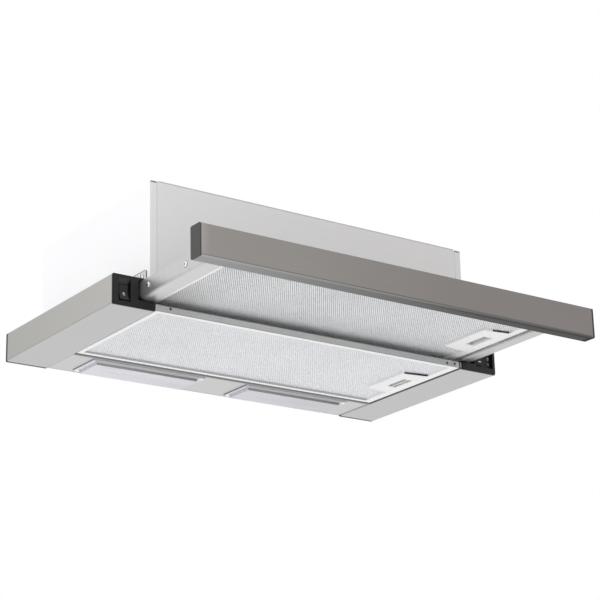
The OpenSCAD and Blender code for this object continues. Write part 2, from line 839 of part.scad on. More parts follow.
// Frame of a grease filter: a channel round its edge, with two hooks on the left
module filter_frame(y0, z0) {
    m = filter_metal;
    y1 = y0 + filter_d;
    mid_y = y0 + filter_d / 2;
    window = [filter_x0 + filter_flange, y0 + filter_flange, latch_x1, y1 - filter_flange];
    color("#e4e5e6") difference() {
        union() {
            block([filter_x0, y0, z0], [filter_x1, y1, z0 + filter_t]);
            for (k = [-1, 1])
                translate([-lip_x - sheet - hook_reach, mid_y + k * hook_span / 2 - hook_w / 2,
                    z0 + hook_lift - hook_t / 2])
                    cube([sheet + hook_reach + hook_gap + join, hook_w, hook_t]);
        }
        // Room above the flanges, with a rim left standing round the window
        difference() {
            block([filter_x0 + m, y0 + m, z0 + m],
                [filter_x1 - m, y1 - m, z0 + mesh_recess + join]);
            block([window[0] - m, window[1] - m, z0],
                [window[2] + m, window[3] + m, z0 + mesh_recess]);
        }
        block([filter_x0 + m, y0 + m, z0 + mesh_recess],
            [filter_x1 - m, y1 - m, z0 + filter_t - m]);
        block([window[0], window[1], z0 - past], [window[2], window[3], z0 + filter_t + past]);
        block([window[2] - past, mid_y - nose_w / 2 - nose_gap, z0 + nose_lift - nose_gap],
            [filter_x1 + past, mid_y + nose_w / 2 + nose_gap,
                z0 + nose_lift + nose_t + nose_gap]);
    }
}

// One mesh sheet of a filter, cut out round the latch's pocket
module mesh_sheet(y0, z) {
    m = filter_metal;
    edge = m + 0.1;
    mid_y = y0 + filter_d / 2;
    cut = pocket_wall + tab_gap;
    difference() {
        block([filter_x0 + edge, y0 + edge, z], [filter_x1 - edge, y0 + filter_d - edge, z + m]);
        block([finger_x0 - cut, mid_y - finger_len / 2 - cut, z - past],
            [finger_x1 + cut, mid_y + finger_len / 2 + cut, z + m + past]);
    }
}

// The filter's two mesh sheets
module filter_mesh(y0, z0) {
    color("#d3d5d7") {
        mesh_sheet(y0, z0 + mesh_recess);
        mesh_sheet(y0, z0 + filter_t - 2 * filter_metal);
    }
}

// Outline of the latch plate, wide on the side of the flange
module latch_plate(mid_y, inset) {
    half = latch_len / 2 - inset;
    polygon([[latch_x0 + inset, mid_y + latch_taper - half], [latch_x1 - inset, mid_y - half],
        [latch_x1 - inset, mid_y + half], [latch_x0 + inset, mid_y - latch_taper + half]]);
}

// Latch plate with its finger pocket, fixed in the filter's window
module latch_housing(y0, z0) {
    m = filter_metal;
    mid_y = y0 + filter_d / 2;
    half = finger_len / 2;
    pocket_x0 = finger_x0 - pocket_wall;
    pocket_x1 = finger_x1 + pocket_wall;
    color("#eceded") difference() {
        union() {
            translate([0, 0, z0]) difference() {
                linear_extrude(mesh_recess) latch_plate(mid_y, 0);
                translate([0, 0, m]) linear_extrude(mesh_recess) latch_plate(mid_y, m);
            }
            block([pocket_x0, mid_y - half - pocket_wall, z0],
                [pocket_x1, mid_y + half + pocket_wall, z0 + pocket_h + pocket_wall]);
        }
        block([finger_x0, mid_y - half, z0 - past], [finger_x1, mid_y + half, z0 + pocket_h]);
        block([finger_x1 - past, mid_y - nose_w / 2 - nose_gap, z0 + nose_lift - nose_gap],
            [latch_x1 + past, mid_y + nose_w / 2 + nose_gap,
                z0 + nose_lift + nose_t + nose_gap]);
    }
}

// Sliding latch: a finger tab in the pocket and a nose that reaches the lip
module latch(y0, z0, tip_x) {
    mid_y = y0 + filter_d / 2;
    back = lip_x + sheet + nose_bite - tip_x;
    tab_x1 = finger_x1 - tab_gap - back;
    half = finger_len / 2 - tab_gap;
    bevel = 1;
    color("#dcddde") union() {
        block([tab_x1 - tab_t, mid_y - half, z0 + tab_gap],
            [tab_x1, mid_y + half, z0 + pocket_h - tab_gap]);
        translate([0, mid_y + nose_w / 2, 0]) rotate([90, 0, 0]) linear_extrude(nose_w)
            polygon([[tab_x1 - join, z0 + nose_lift], [tip_x - bevel, z0 + nose_lift],
                [tip_x, z0 + nose_lift + bevel], [tip_x, z0 + nose_lift + nose_t],
                [tab_x1 - join, z0 + nose_lift + nose_t]]);
    }
}

// Translucent lamp cover: a flat rim, a tray that stands down and snap walls in the window
module lamp_cover(s) {
    w = cover_w;
    d = cover_d;
    in_w = w - 2 * (window_in + cap_fit);
    in_d = d - 2 * (window_in + cap_fit);
    draft = 1;
    face_w = w - 2 * cover_rim;
    face_y0 = cover_rim - d / 2;
    face_d = d - cover_rim - cover_back_rim;
    wall = draft + cover_wall;
    color("#e6e2ee", 0.8) translate([s * cover_x, cover_y, light_z]) difference() {
        union() {
            translate([-w / 2, -d / 2, -cover_rim_t]) cube([w, d, cover_rim_t]);
            hull() {
                translate([-face_w / 2, face_y0, -cover_rim_t])
                    cube([face_w, face_d, cover_rim_t / 2]);
                translate([draft - face_w / 2, face_y0 + draft, -cover_bulge])
                    cube([face_w - 2 * draft, face_d - 2 * draft, cover_rim_t / 2]);
            }
            translate([-in_w / 2, -in_d / 2, -cover_rim_t / 2])
                cube([in_w, in_d, snap_h + cover_rim_t / 2]);
        }
        translate([wall - face_w / 2, face_y0 + wall, cover_wall - cover_bulge])
            cube([face_w - 2 * wall, in_d / 2 - cover_wall - face_y0 - wall, cover_bulge]);
        translate([cover_wall - in_w / 2, cover_wall - in_d / 2, 0])
            cube([in_w - 2 * cover_wall, in_d - 2 * cover_wall, snap_h + past]);
    }
}

// Reflector tray over each window
module lamp_tray(s) {
    w = cover_w + 2 * tray_edge;
    d = cover_d + 2 * tray_edge;
    z0 = light_z + sheet;
    color("#dedede") translate([s * cover_x, cover_y, z0]) difference() {
        translate([-w / 2, -d / 2, 0]) cube([w, d, tray_h]);
        translate([tray_wall - w / 2, tray_wall - d / 2, -past])
            cube([w - 2 * tray_wall, d - 2 * tray_wall, tray_h - tray_wall + past]);
    }
}

lamp_end_x = cover_w / 2 + tray_edge - tray_wall;
holder_floor = 5;
holder_len = holder_floor + socket_len;
// Lamp holder on the tray's outer end wall
module lamp_holder(s) {
    color("#e9e7e0") translate([s * cover_x, cover_y, lamp_z]) rotate([0, -90 * s, 0])
        translate([0, 0, -lamp_end_x]) rotate_extrude() polygon([
            [0, 0], [15, 0], [15, 3], [13, 5], [13, holder_len],
            [socket_r + lamp_play, holder_len], [socket_r + lamp_play, holder_floor],
            [0, holder_floor]]);
}

// Candle lamp with its cap in the holder
module lamp(s) {
    r = lamp_d / 2;
    bulb = lamp_len - socket_len;
    color("#f4f2ea") translate([s * cover_x, cover_y, lamp_z]) rotate([0, -90 * s, 0])
        translate([0, 0, holder_floor + lamp_play - lamp_end_x]) rotate_extrude() polygon(concat(
            [[0, 0], [socket_r - 3, 0], [socket_r, 2], [socket_r, socket_len]],
            [for (i = [0:14]) let(t = i / 14)
                [socket_r * pow(1 - t, 2) + (r - 0.45 * socket_r) * sin(180 * pow(t, 0.72)),
                    socket_len + bulb * t]],
            [[0, lamp_len]]));
}

// Radius of the scroll's air space at an angle
function scroll_r(a) = tongue_r + (scroll_end_r - tongue_r) * (a - tongue_a) / (360 - tongue_a);
// Outline of the scroll in Y and Z, grown by g, with its mouth at the box's top
module scroll_outline(g, top) {
    steps = 40;
    polygon(concat(
        [[scroll_y + tongue_r * cos(tongue_a) - g, top],
            [scroll_y + tongue_r * cos(tongue_a) - g, scroll_z + tongue_r * sin(tongue_a)]],
        [for (i = [1:steps]) let(a = tongue_a + (360 - tongue_a) * i / steps)
            [scroll_y + (scroll_r(a) + g) * cos(a), scroll_z + (scroll_r(a) + g) * sin(a)]],
        [[scroll_y + scroll_end_r + g, top]]));
}

// Half of the scroll, with its bell-mouthed inlet; the left half also carries the motor
module scroll_half(s) {
    top = lap_z;
    color("#3c3e40") side(s) difference() {
        union() {
            difference() {
                run_x(0, scroll_half_len) scroll_outline(scroll_wall, top);
                run_x(-past, scroll_half_len - scroll_wall) scroll_outline(0, top + past);
            }
            translate([scroll_half_len - scroll_wall, scroll_y, scroll_z]) rotate([0, 90, 0])
                rotate_extrude($fn = 72) polygon([[inlet_r + bell_r + 3, 0],
                    [inlet_r + bell_r + 3, scroll_wall], [inlet_r + bell_r, scroll_wall + 2],
                    [inlet_r, scroll_wall - 1], [inlet_r, -1.5], [inlet_r + 2, -1.5],
                    [inlet_r + 2, 0]]);
            if (s < 0) motor_spider();
        }
        rod_x(scroll_half_len - scroll_wall - 3, scroll_half_len + 1.5, scroll_y, scroll_z,
            inlet_r);
    }
}

// Three arms and a ring that hold the motor in the left inlet
module motor_spider() {
    ring_x = scroll_half_len + 8;
    arm_r = inlet_r + 9;
    translate([ring_x, scroll_y, scroll_z]) rotate([0, 90, 0]) {
        difference() {
            cylinder(h = spider_len, r = motor_r + spider_t, $fn = 72);
            translate([0, 0, -past])
                cylinder(h = spider_len + 2 * past, r = motor_r + pin_play, $fn = 72);
        }
        for (k = [0:2]) rotate(60 + 120 * k) {
            translate([motor_r + spider_t - 1, -5, 0])
                cube([arm_r - motor_r - spider_t + 1, 10, 4]);
            translate([arm_r - 4, -5, -8 - scroll_wall + 1]) cube([4, 10, 12 + scroll_wall - 1]);
        }
    }
}

// Motor can with ribs, bored for its shaft
module motor() {
    color("#8d9095") difference() {
        translate([motor_x0, scroll_y, scroll_z]) rotate([0, 90, 0]) {
            rotate_extrude($fn = 72) polygon([[0, 0], [motor_r - 6, 0], [motor_r, 4],
                [motor_r, motor_len - 4], [motor_r - 6, motor_len], [11, motor_len],
                [9, motor_len + 4], [0, motor_len + 4]]);
        }
        rod_x(motor_x0 - past, motor_x1 + 6, scroll_y, scroll_z, shaft_r + shaft_play);
    }
}

// Shaft from the motor to the impeller's hub
module motor_shaft() {
    color("#a9acb0")
        rod_x(motor_x0 + 2, hub_len / 2 + 2, scroll_y, scroll_z, shaft_r);
}

// A point of a blade, at share t of its depth, offset by w to its side
function blade_point(t, w) =
    let(r = impeller_r - 0.8 - blade_depth * (1 - t),
        a = 20 * (1 - cos(90 * t)) + w / r * 180 / PI)
    [r * cos(a), r * sin(a)];

// Double-inlet impeller: forward-curved blades, a middle disc, end rings and a hub
module impeller() {
    steps = 5;
    half_blade = 0.45;
    half = impeller_len / 2;
    color("#54575a") translate([0, scroll_y, scroll_z]) rotate([0, 90, 0]) difference() {
        union() {
            for (k = [0:blade_count - 1]) rotate(360 * k / blade_count)
                translate([0, 0, 1 - half]) linear_extrude(impeller_len - 2)
                    polygon(concat([for (i = [0:steps]) blade_point(i / steps, -half_blade)],
                        [for (i = [steps:-1:0]) blade_point(i / steps, half_blade)]));
            translate([0, 0, -disc_t / 2])
                cylinder(h = disc_t, r = impeller_r - blade_depth + 2, $fn = 72);
            translate([0, 0, -hub_len / 2]) cylinder(h = hub_len, r = hub_r);
            for (z = [-half, half - ring_t]) translate([0, 0, z]) difference() {
                cylinder(h = ring_t, r = impeller_r, $fn = 72);
                translate([0, 0, -past])
                    cylinder(h = ring_t + 2 * past, r = impeller_r - ring_depth, $fn = 72);
            }
        }
        translate([0, 0, -hub_len]) cylinder(h = 2 * hub_len, r = shaft_r + press_play);
    }
}

// Capacitor under the top panel
module capacitor() {
    color("#d8d8d4") translate([capacitor_x, capacitor_y, lap_z - capacitor_len]) union() {
        cylinder(h = capacitor_len - 3 * box_sheet, r = capacitor_r);
        cylinder(h = capacitor_len, r = shaft_r);
    }
}

// Terminal box under the top panel, in front of the cable gland
module terminal_box() {
    x0 = gland_x + 1.5 * nut_r - terminal_w;
    y1 = gland_y - gland_r - 0.5 * nut_r;
    w = cover_wall;
    color("#e8e8e4") difference() {
        block([x0, y1 - terminal_d, lap_z - terminal_h], [x0 + terminal_w, y1, lap_z]);
        block([x0 + w, y1 - terminal_d + w, lap_z - terminal_h + w],
            [x0 + terminal_w - w, y1 - w, lap_z - w]);
        translate([gland_x, y1 + past, lap_z - terminal_h / 2]) rotate([90, 0, 0])
            cylinder(h = w + 2 * past, r = gland_bore_r + 1);
    }
}

// Cable gland in the top panel: the cable itself isn't part of the model
module cable_gland() {
    stem = 6;
    color("#303233") translate([gland_x, gland_y, box_h]) difference() {
        union() {
            rotate_extrude() polygon([[0, -box_sheet - stem], [gland_r, -box_sheet - stem],
                [gland_r, 0], [nut_r, 0], [nut_r, 4], [gland_r + 2, 4], [gland_r + 1, 11],
                [gland_r - 1, 14], [0, 14]]);
            translate([0, 0, -box_sheet - 4]) cylinder(h = 4, r = nut_r, $fn = 6);
        }
        translate([0, 0, -box_sheet - stem - past])
            cylinder(h = stem + box_sheet + 14 + 2 * past, r = gland_bore_r);
    }
}

// Outlet collar: base flange, spigot, the ledge that the flaps rest on and the pin's lugs
module outlet_collar() {
    ledge_z = flap_z - flap_t / 2 - 0.1;
    ledge = 4.5;
    color("#2f3132") difference() {
        union() {
            translate([0, collar_y, box_h]) rotate_extrude($fn = 96) polygon([
                [outlet_hole_r, 0], [collar_flange_r, 0], [collar_flange_r, collar_base],
                [collar_r, collar_base], [collar_r, collar_h], [collar_in_r, collar_h],
                [collar_in_r, ledge_z - box_h], [collar_in_r - ledge, ledge_z - box_h],
                [collar_in_r - ledge, ledge_z - box_h - 1.5],
                [collar_in_r, ledge_z - box_h - 3], [collar_in_r, collar_base],
                [outlet_hole_r, collar_base]]);
            for (s = [-1, 1]) side(s) {
                block([collar_in_r - lug_t, collar_y - knuckle_r, ledge_z - join],
                    [collar_in_r + collar_wall / 2, collar_y + knuckle_r, flap_z]);
                rod_x(collar_in_r - lug_t, collar_in_r + collar_wall / 2, collar_y, flap_z,
                    knuckle_r);
            }
        }
        rod_x(1 - collar_in_r, collar_in_r - 1, collar_y, flap_z, flap_pin_r + press_play);
    }
}

// Pin that both flaps swing on
module flap_pin() {
    color("#c9cbcd") rod_x(1.2 - collar_in_r, collar_in_r - 1.2, collar_y, flap_z, flap_pin_r);
}

// Half-round flap: k = 1 closes the side to the wall, k = -1 the side to the front
module flap(k) {
    reach = collar_in_r - flap_play;
    clear = knuckle_r + knuckle_gap;
    lug_x = collar_in_r - lug_t - 0.5;
    pitch = knuckle_w + knuckle_gap;
    rows = floor((lug_x - pitch / 2) / pitch);
    function own(i) = (i % 2 == 0) == (k > 0);
    color("#5d6063") translate([0, collar_y, flap_z]) difference() {
        union() {
            difference() {
                translate([0, 0, -flap_t / 2]) cylinder(h = flap_t, r = reach, $fn = 96);
                block([-collar_r, (k > 0 ? -collar_r : -clear), -flap_t],
                    [collar_r, (k > 0 ? clear : collar_r), flap_t]);
                for (s = [-1, 1]) side(s)
                    block([lug_x, -collar_r, -flap_t], [collar_r, collar_r, flap_t]);
            }
            translate([0, 0, -flap_t / 2]) linear_extrude(flap_t)
                tip_ears(k, reach, lug_x, clear);
            for (i = [-rows:rows]) if (own(abs(i))) {
                rod_x(i * pitch - knuckle_w / 2, i * pitch + knuckle_w / 2, 0, 0, knuckle_r);
                block([i * pitch - knuckle_w / 2, (k > 0 ? 0 : -clear - join), -flap_t / 2],
                    [i * pitch + knuckle_w / 2, (k > 0 ? clear + join : 0), flap_t / 2]);
            }
        }
        rod_x(-collar_r, collar_r, 0, 0, flap_pin_r + pin_play);
    }
}

// The round parts of a flap beyond the pin's lugs
module tip_ears(k, reach, lug_x, clear) {
    for (s = [-1, 1]) intersection() {
        circle(r = reach, $fn = 96);
        translate([s > 0 ? lug_x - 1 : -collar_r, k > 0 ? clear + 0.5 : -collar_r])
            square([collar_r - lug_x + 1, collar_r - clear - 0.5]);
    }
}

wing(-1);  // left_wing
wing(1);  // right_wing
front_strip();
light_panel();
slide_bracket(-1);  // left_slide_bracket
slide_bracket(1);  // right_slide_bracket
side_panel(-1);  // left_side_panel
side_panel(1);  // right_side_panel
box_front_panel();
box_back_panel();
box_top_panel();
end_cap(-1);  // left_end_cap
end_cap(1);  // right_end_cap
light_switch_body();
speed_switch_body();
slide_fixed(-1);  // left_slide_fixed
slide_fixed(1);  // right_slide_fixed
outlet_collar();
flap_pin();
scroll_half(-1);  // scroll_left_half
scroll_half(1);  // scroll_right_half
motor();
capacitor();
terminal_box();
cable_gland();
lamp_cover(-1);  // left_lamp_cover
lamp_cover(1);  // right_lamp_cover
lamp_tray(-1);  // left_lamp_tray
lamp_tray(1);  // right_lamp_tray
lamp_holder(-1);  // left_lamp_holder
lamp_holder(1);  // right_lamp_holder
lamp(-1);  // left_lamp
lamp(1);  // right_lamp
casing_screws();
drawer_rail(-1);  // drawer_left_rail
drawer_rail(1);  // drawer_right_rail
drawer_front_bar();
drawer_rear_bar();
front_panel();
panel_cap(-1);  // panel_left_cap
panel_cap(1);  // panel_right_cap
drawer_screws();
slide_drawer(-1);  // left_slide_drawer
slide_drawer(1);  // right_slide_drawer
filter_frame(drawer_filter_y, drawer_filter_z);  // drawer_filter_frame
filter_mesh(drawer_filter_y, drawer_filter_z);  // drawer_filter_mesh
latch_housing(drawer_filter_y, drawer_filter_z);  // drawer_latch_housing
slide_middle(-1);  // left_slide_middle
slide_middle(1);  // right_slide_middle
light_rocker();
speed_knob();
impeller();
motor_shaft();
flap(-1);  // front_flap
flap(1);  // rear_flap
filter_frame(lower_filter_y, lower_filter_z);  // lower_filter_frame
filter_mesh(lower_filter_y, lower_filter_z);  // lower_filter_mesh
latch_housing(lower_filter_y, lower_filter_z);  // lower_latch_housing
latch(lower_filter_y, lower_filter_z, lip_x - nose_short);  // lower_latch
latch(drawer_filter_y, drawer_filter_z, lip_x + sheet + nose_bite);  // drawer_latch
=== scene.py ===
import json
import math

import bmesh
import bpy
from mathutils import Matrix, Vector


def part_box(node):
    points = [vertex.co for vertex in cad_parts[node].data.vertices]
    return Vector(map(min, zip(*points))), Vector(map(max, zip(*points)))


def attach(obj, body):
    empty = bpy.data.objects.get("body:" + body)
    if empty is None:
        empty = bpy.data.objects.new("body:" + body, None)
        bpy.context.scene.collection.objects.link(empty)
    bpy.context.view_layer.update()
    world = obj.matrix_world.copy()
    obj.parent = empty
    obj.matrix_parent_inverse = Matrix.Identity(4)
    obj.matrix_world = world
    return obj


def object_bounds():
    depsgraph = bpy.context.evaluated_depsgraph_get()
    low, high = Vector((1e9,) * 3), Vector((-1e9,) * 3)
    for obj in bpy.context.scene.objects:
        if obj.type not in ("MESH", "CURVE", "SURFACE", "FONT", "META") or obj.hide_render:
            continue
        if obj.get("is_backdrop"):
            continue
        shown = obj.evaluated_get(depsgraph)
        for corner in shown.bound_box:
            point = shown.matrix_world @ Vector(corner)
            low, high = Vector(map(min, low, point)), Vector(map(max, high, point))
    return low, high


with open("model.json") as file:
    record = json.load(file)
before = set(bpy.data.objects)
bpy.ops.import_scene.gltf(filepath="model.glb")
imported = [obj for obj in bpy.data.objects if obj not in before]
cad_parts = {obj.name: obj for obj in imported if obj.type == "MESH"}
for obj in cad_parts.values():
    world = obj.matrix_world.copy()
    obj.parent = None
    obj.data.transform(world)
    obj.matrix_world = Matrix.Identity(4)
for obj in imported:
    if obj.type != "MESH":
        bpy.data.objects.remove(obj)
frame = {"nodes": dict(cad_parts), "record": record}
low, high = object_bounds()
nodes = frame["nodes"]
scene = bpy.context.scene
MM = 0.001
X, Y, Z = (Vector(v) for v in ((1, 0, 0), (0, 1, 0), (0, 0, 1)))


# Shader nodes. In these, t is a material's node tree. Places are object coordinates, in metres.

# Every material by its name
MAT = {}


# Starts a material and gives its node tree and its shader
def new_material(name):
    m = bpy.data.materials.new(name)
    m.use_nodes = True
    MAT[name] = m
    return m.node_tree, shader(m.node_tree)


def shader(t):
    return t.nodes["Principled BSDF"]


def link(t, a, b):
    t.links.new(a, b)


# The object's coordinates, times one scale or one for each axis
def coords(t, scale):
    c = t.nodes.new("ShaderNodeTexCoord")
    m = t.nodes.new("ShaderNodeMapping")
    m.inputs["Scale"].default_value = scale if isinstance(scale, tuple) else (scale,) * 3
    link(t, c.outputs["Object"], m.inputs["Vector"])
    return m.outputs["Vector"]


# One axis of the object's coordinates, or of its surface normal
def axis(t, letter, source="Object"):
    c = t.nodes.new("ShaderNodeTexCoord")
    s = t.nodes.new("ShaderNodeSeparateXYZ")
    link(t, c.outputs[source], s.inputs[0])
    return s.outputs["XYZ".index(letter)]


def noise(t, scale, detail=3.0, rough=0.6):
    n = t.nodes.new("ShaderNodeTexNoise")
    n.inputs["Scale"].default_value = 1.0
    n.inputs["Detail"].default_value = detail
    n.inputs["Roughness"].default_value = rough
    link(t, coords(t, scale), n.inputs["Vector"])
    return n.outputs["Fac"]


def ramp(t, fac, stops):
    r = t.nodes.new("ShaderNodeValToRGB")
    e = r.color_ramp.elements
    while len(e) < len(stops):
        e.new(0.5)
    for k, (p, c) in enumerate(stops):
        e[k].position = p
        e[k].color = (*c, 1)
    link(t, fac, r.inputs["Fac"])
    return r.outputs["Color"]


def math_node(t, op, *values):
    n = t.nodes.new("ShaderNodeMath")
    n.operation = op
    for k, v in enumerate(values):
        if isinstance(v, (int, float)):
            n.inputs[k].default_value = v
        else:
            link(t, v, n.inputs[k])
    return n.outputs[0]


def absolute(t, value):
    return math_node(t, "ABSOLUTE", value)


def mix(t, fac, a, b, kind="MIX"):
    n = t.nodes.new("ShaderNodeMix")
    n.data_type = "RGBA"
    n.blend_type = kind
    n.clamp_result = True
    for s, v in ((n.inputs[0], fac), (n.inputs[6], a), (n.inputs[7], b)):
        if isinstance(v, (int, float)):
            s.default_value = v
        elif isinstance(v, tuple):
            s.default_value = (*v, 1)
        else:
            link(t, v, s)
    return n.outputs[2]


def bump(t, p, height, strength, distance):
    b = t.nodes.new("ShaderNodeBump")
    b.inputs["Strength"].default_value = strength
    b.inputs["Distance"].default_value = distance
    link(t, height, b.inputs["Height"])
    link(t, b.outputs["Normal"], p.inputs["Normal"])


# A mask: 0 where a value is at lo and beyond, 1 where it is at hi and beyond
def rise(t, value, lo, hi):
    n = t.nodes.new("ShaderNodeMapRange")
    link(t, value, n.inputs["Value"])
    n.inputs["From Min"].default_value = lo
    n.inputs["From Max"].default_value = hi
    return n.outputs["Result"]


# The same along an axis of the object
def past(t, letter, lo, hi):
    return rise(t, axis(t, letter), lo, hi)


# 1 where several masks are all 1
def every(t, first, *rest):
    for r in rest:
        first = math_node(t, "MULTIPLY", first, r)
    return first


# 1 between two places along an axis
def between(t, letter, lo, hi, soft=0.1 * MM):
    return every(t, past(t, letter, lo - soft, lo), past(t, letter, hi + soft, hi))


# 1 where the surface faces along an axis: sign gives which way
def facing(t, letter, sign, lo=0.45, hi=0.75):
    return rise(t, axis(t, letter, "Normal"), lo * sign, hi * sign)


# Colours along an axis: each stop is a place and a colour
def graded(t, letter, *stops):
    lo, hi = stops[0][0], stops[-1][0]
    return ramp(t, past(t, letter, lo, hi), [((p - lo) / (hi - lo), c) for p, c in stops])


# Lays a colour over the material's own, where the mask is 1
def tint(t, mask, colour, kind="MIX"):
    base = shader(t).inputs["Base Color"]
    link(t, mix(t, mask, base.links[0].from_socket, colour, kind), base)


def grey(v):
    return (v, v, v)


def shade(c, k):
    return tuple(min(1.0, v * k) for v in c)


# A colour that wanders to both sides of its own brightness
def around(t, c, fac, spread):
    return ramp(t, fac, [(0.3, shade(c, 1 - spread)), (0.7, shade(c, 1 + spread))])


# A colour that is darker in patches
def patchy(t, c, fac, dark):
    return mix(t, 1.0, c, ramp(t, fac, [(0.3, grey(dark)), (0.7, grey(1.0))]), "MULTIPLY")


# Roughness that swings about its middle
def roughen(t, p, fac, middle, swing):
    link(t, math_node(t, "MULTIPLY_ADD", fac, swing, middle - swing / 2),
         p.inputs["Roughness"])


# Finishes. In these, t is the node tree and p the shader.

def brushed(name, colour, along, metal=1.0, rough=0.35, spread=0.05, cloud=0.03, fine=1200,
            deep=0.12):
    t, p = new_material(name)
    streak = noise(t, tuple(9.0 if letter == along else fine for letter in "XYZ"), 4.0, 0.7)
    wide = noise(t, 7, 2.0, 0.5)
    link(t, patchy(t, around(t, colour, streak, spread), wide, 1 - cloud),
         p.inputs["Base Color"])
    p.inputs["Metallic"].default_value = metal
    roughen(t, p, streak, rough, 0.16)
    bump(t, p, streak, deep, 0.2 * MM)


def painted(name, colour, rough=0.35, peel=0.06, spread=0.012, coat=0.2):
    t, p = new_material(name)
    grain = noise(t, 420, 3.0, 0.55)
    wide = noise(t, 5, 2.0, 0.5)
    link(t, around(t, colour, wide, spread), p.inputs["Base Color"])
    roughen(t, p, grain, rough, 0.14)
    p.inputs["Coat Weight"].default_value = coat
    p.inputs["Coat Roughness"].default_value = 0.25
    bump(t, p, grain, peel, 0.4 * MM)


# Galvanised sheet, with its faint patchwork of crystals
def zinc(name, colour, rough=0.38, metal=0.9):
    t, p = new_material(name)
    v = t.nodes.new("ShaderNodeTexVoronoi")
    v.inputs["Scale"].default_value = 1.0
    link(t, coords(t, 110), v.inputs["Vector"])
    cells = t.nodes.new("ShaderNodeSeparateColor")
    link(t, v.outputs["Color"], cells.inputs[0])
    fine = noise(t, 900)
    c = ramp(t, cells.outputs[0], [(0.0, shade(colour, 0.94)), (1.0, shade(colour, 1.05))])
    link(t, mix(t, 0.5, c, around(t, colour, fine, 0.05)), p.inputs["Base Color"])
    p.inputs["Metallic"].default_value = metal
    roughen(t, p, fine, rough, 0.2)
    bump(t, p, fine, 0.08, 0.3 * MM)


def moulded(name, colour, rough=0.5, grain_scale=700, depth=0.25, spread=0.12):
    t, p = new_material(name)
    grain = noise(t, grain_scale, 4.0, 0.65)
    wide = noise(t, 18, 2.0, 0.5)
    link(t, patchy(t, around(t, colour, grain, spread), wide, 0.92), p.inputs["Base Color"])
    roughen(t, p, grain, rough, 0.2)
    bump(t, p, grain, depth, 0.3 * MM)


# Bright strands of the filters, uneven in colour so that single ones glint as painted
# highlights, with painted shade on their flanks
def strand_metal(name, colour, flank=0.5):
    t, p = new_material(name)
    glint = noise(t, 420, 2.0, 0.7)
    wide = noise(t, 9, 2.0, 0.5)
    c = ramp(t, glint, [(0.25, shade(colour, 0.72)), (0.5, colour), (0.75, shade(colour, 1.2))])
    flat = rise(t, absolute(t, axis(t, "Z", "Normal")), 0.75, 0.95)
    link(t, mix(t, 1.0, patchy(t, c, wide, 0.95),
                ramp(t, flat, [(0.0, grey(flank)), (1.0, grey(1.0))]), "MULTIPLY"),
         p.inputs["Base Color"])
    p.inputs["Metallic"].default_value = 0.3
    roughen(t, p, glint, 0.4, 0.3)
    bump(t, p, glint, 0.4, 0.5 * MM)


def frosted(name, colour):
    t, p = new_material(name)
    grain = noise(t, 300)
    streak = noise(t, (14, 90, 14), 2.0, 0.5)
    link(t, patchy(t, around(t, colour, grain, 0.02), streak, 0.88), p.inputs["Base Color"])
    roughen(t, p, grain, 0.29, 0.1)
    p.inputs["Subsurface Weight"].default_value = 0.25
    p.inputs["Subsurface Radius"].default_value = (0.01, 0.01, 0.01)
    bump(t, p, grain, 0.12, 0.3 * MM)


# What the brushed sheets of the underside share
SHEET = {"metal": 0.55, "rough": 0.42, "fine": 500, "deep": 0.05}

brushed("wing_steel", grey(0.58), "Y", spread=0.02, cloud=0.02, **SHEET)
brushed("strip_steel", (0.60, 0.60, 0.59), "X", spread=0.03, cloud=0.03, **SHEET)
brushed("lamp_steel", (0.66, 0.66, 0.655), "X", spread=0.02, cloud=0.02, **SHEET)
brushed("panel_steel", (0.27, 0.25, 0.235), "X", metal=0.7, rough=0.36, cloud=0.04, fine=1500,
        deep=0.1)
brushed("filter_aluminium", grey(0.99), "X", metal=0.3, rough=0.38, spread=0.03, cloud=0.02,
        fine=600, deep=0.05)
brushed("shaft_steel", grey(0.62), "X", rough=0.25)
brushed("capacitor_alu", grey(0.68), "Z", rough=0.3)
painted("box_white", (0.93, 0.93, 0.945))
painted("box_grey", grey(0.66))
# The box's white paint, made grey on its front as painted shade
painted("box_front", grey(0.72))
painted("latch_white", grey(0.92), rough=0.4)
painted("print_white", grey(0.62), rough=0.5)
painted("cover_glint_white", grey(1.0), rough=0.1, peel=0.0, spread=0.0, coat=1.0)
painted("lamp_glass", (0.9, 0.89, 0.86), rough=0.15, peel=0.02)
painted("motor_metal", (0.045, 0.047, 0.05), rough=0.42)
zinc("zinc", grey(0.60))
zinc("rail_zinc", grey(0.60))
zinc("bracket_zinc", grey(0.64))
zinc("screw_zinc", grey(0.92), rough=0.25)
# The sheets behind the strands are darker than the strands: painted shade for the holes between
# them
strand_metal("drawer_mesh", (0.60, 0.61, 0.63))
strand_metal("drawer_strands", (0.965, 0.98, 1.0), flank=0.8)
strand_metal("lower_mesh", (0.68, 0.70, 0.76))
strand_metal("lower_strands", (0.97, 0.98, 1.0), flank=1.0)
frosted("cover_frost", (0.80, 0.79, 0.85))
moulded("cap_black", (0.010, 0.0105, 0.0105), rough=0.42)
moulded("switch_black", (0.014, 0.0145, 0.0145), rough=0.38, grain_scale=(60, 900, 900),
        depth=0.35, spread=0.25)
moulded("panel_cap_black", (0.038, 0.038, 0.036), rough=0.45)
moulded("holder_white", (0.78, 0.77, 0.72), rough=0.45, depth=0.12, spread=0.03)
moulded("collar_grey", (0.07, 0.072, 0.075))
moulded("scroll_grey", (0.16, 0.165, 0.17))
moulded("wheel_white", (0.60, 0.60, 0.57), rough=0.45, depth=0.12, spread=0.04)
moulded("flap_grey", (0.11, 0.115, 0.12))
moulded("shadow", grey(0.02), rough=0.8)

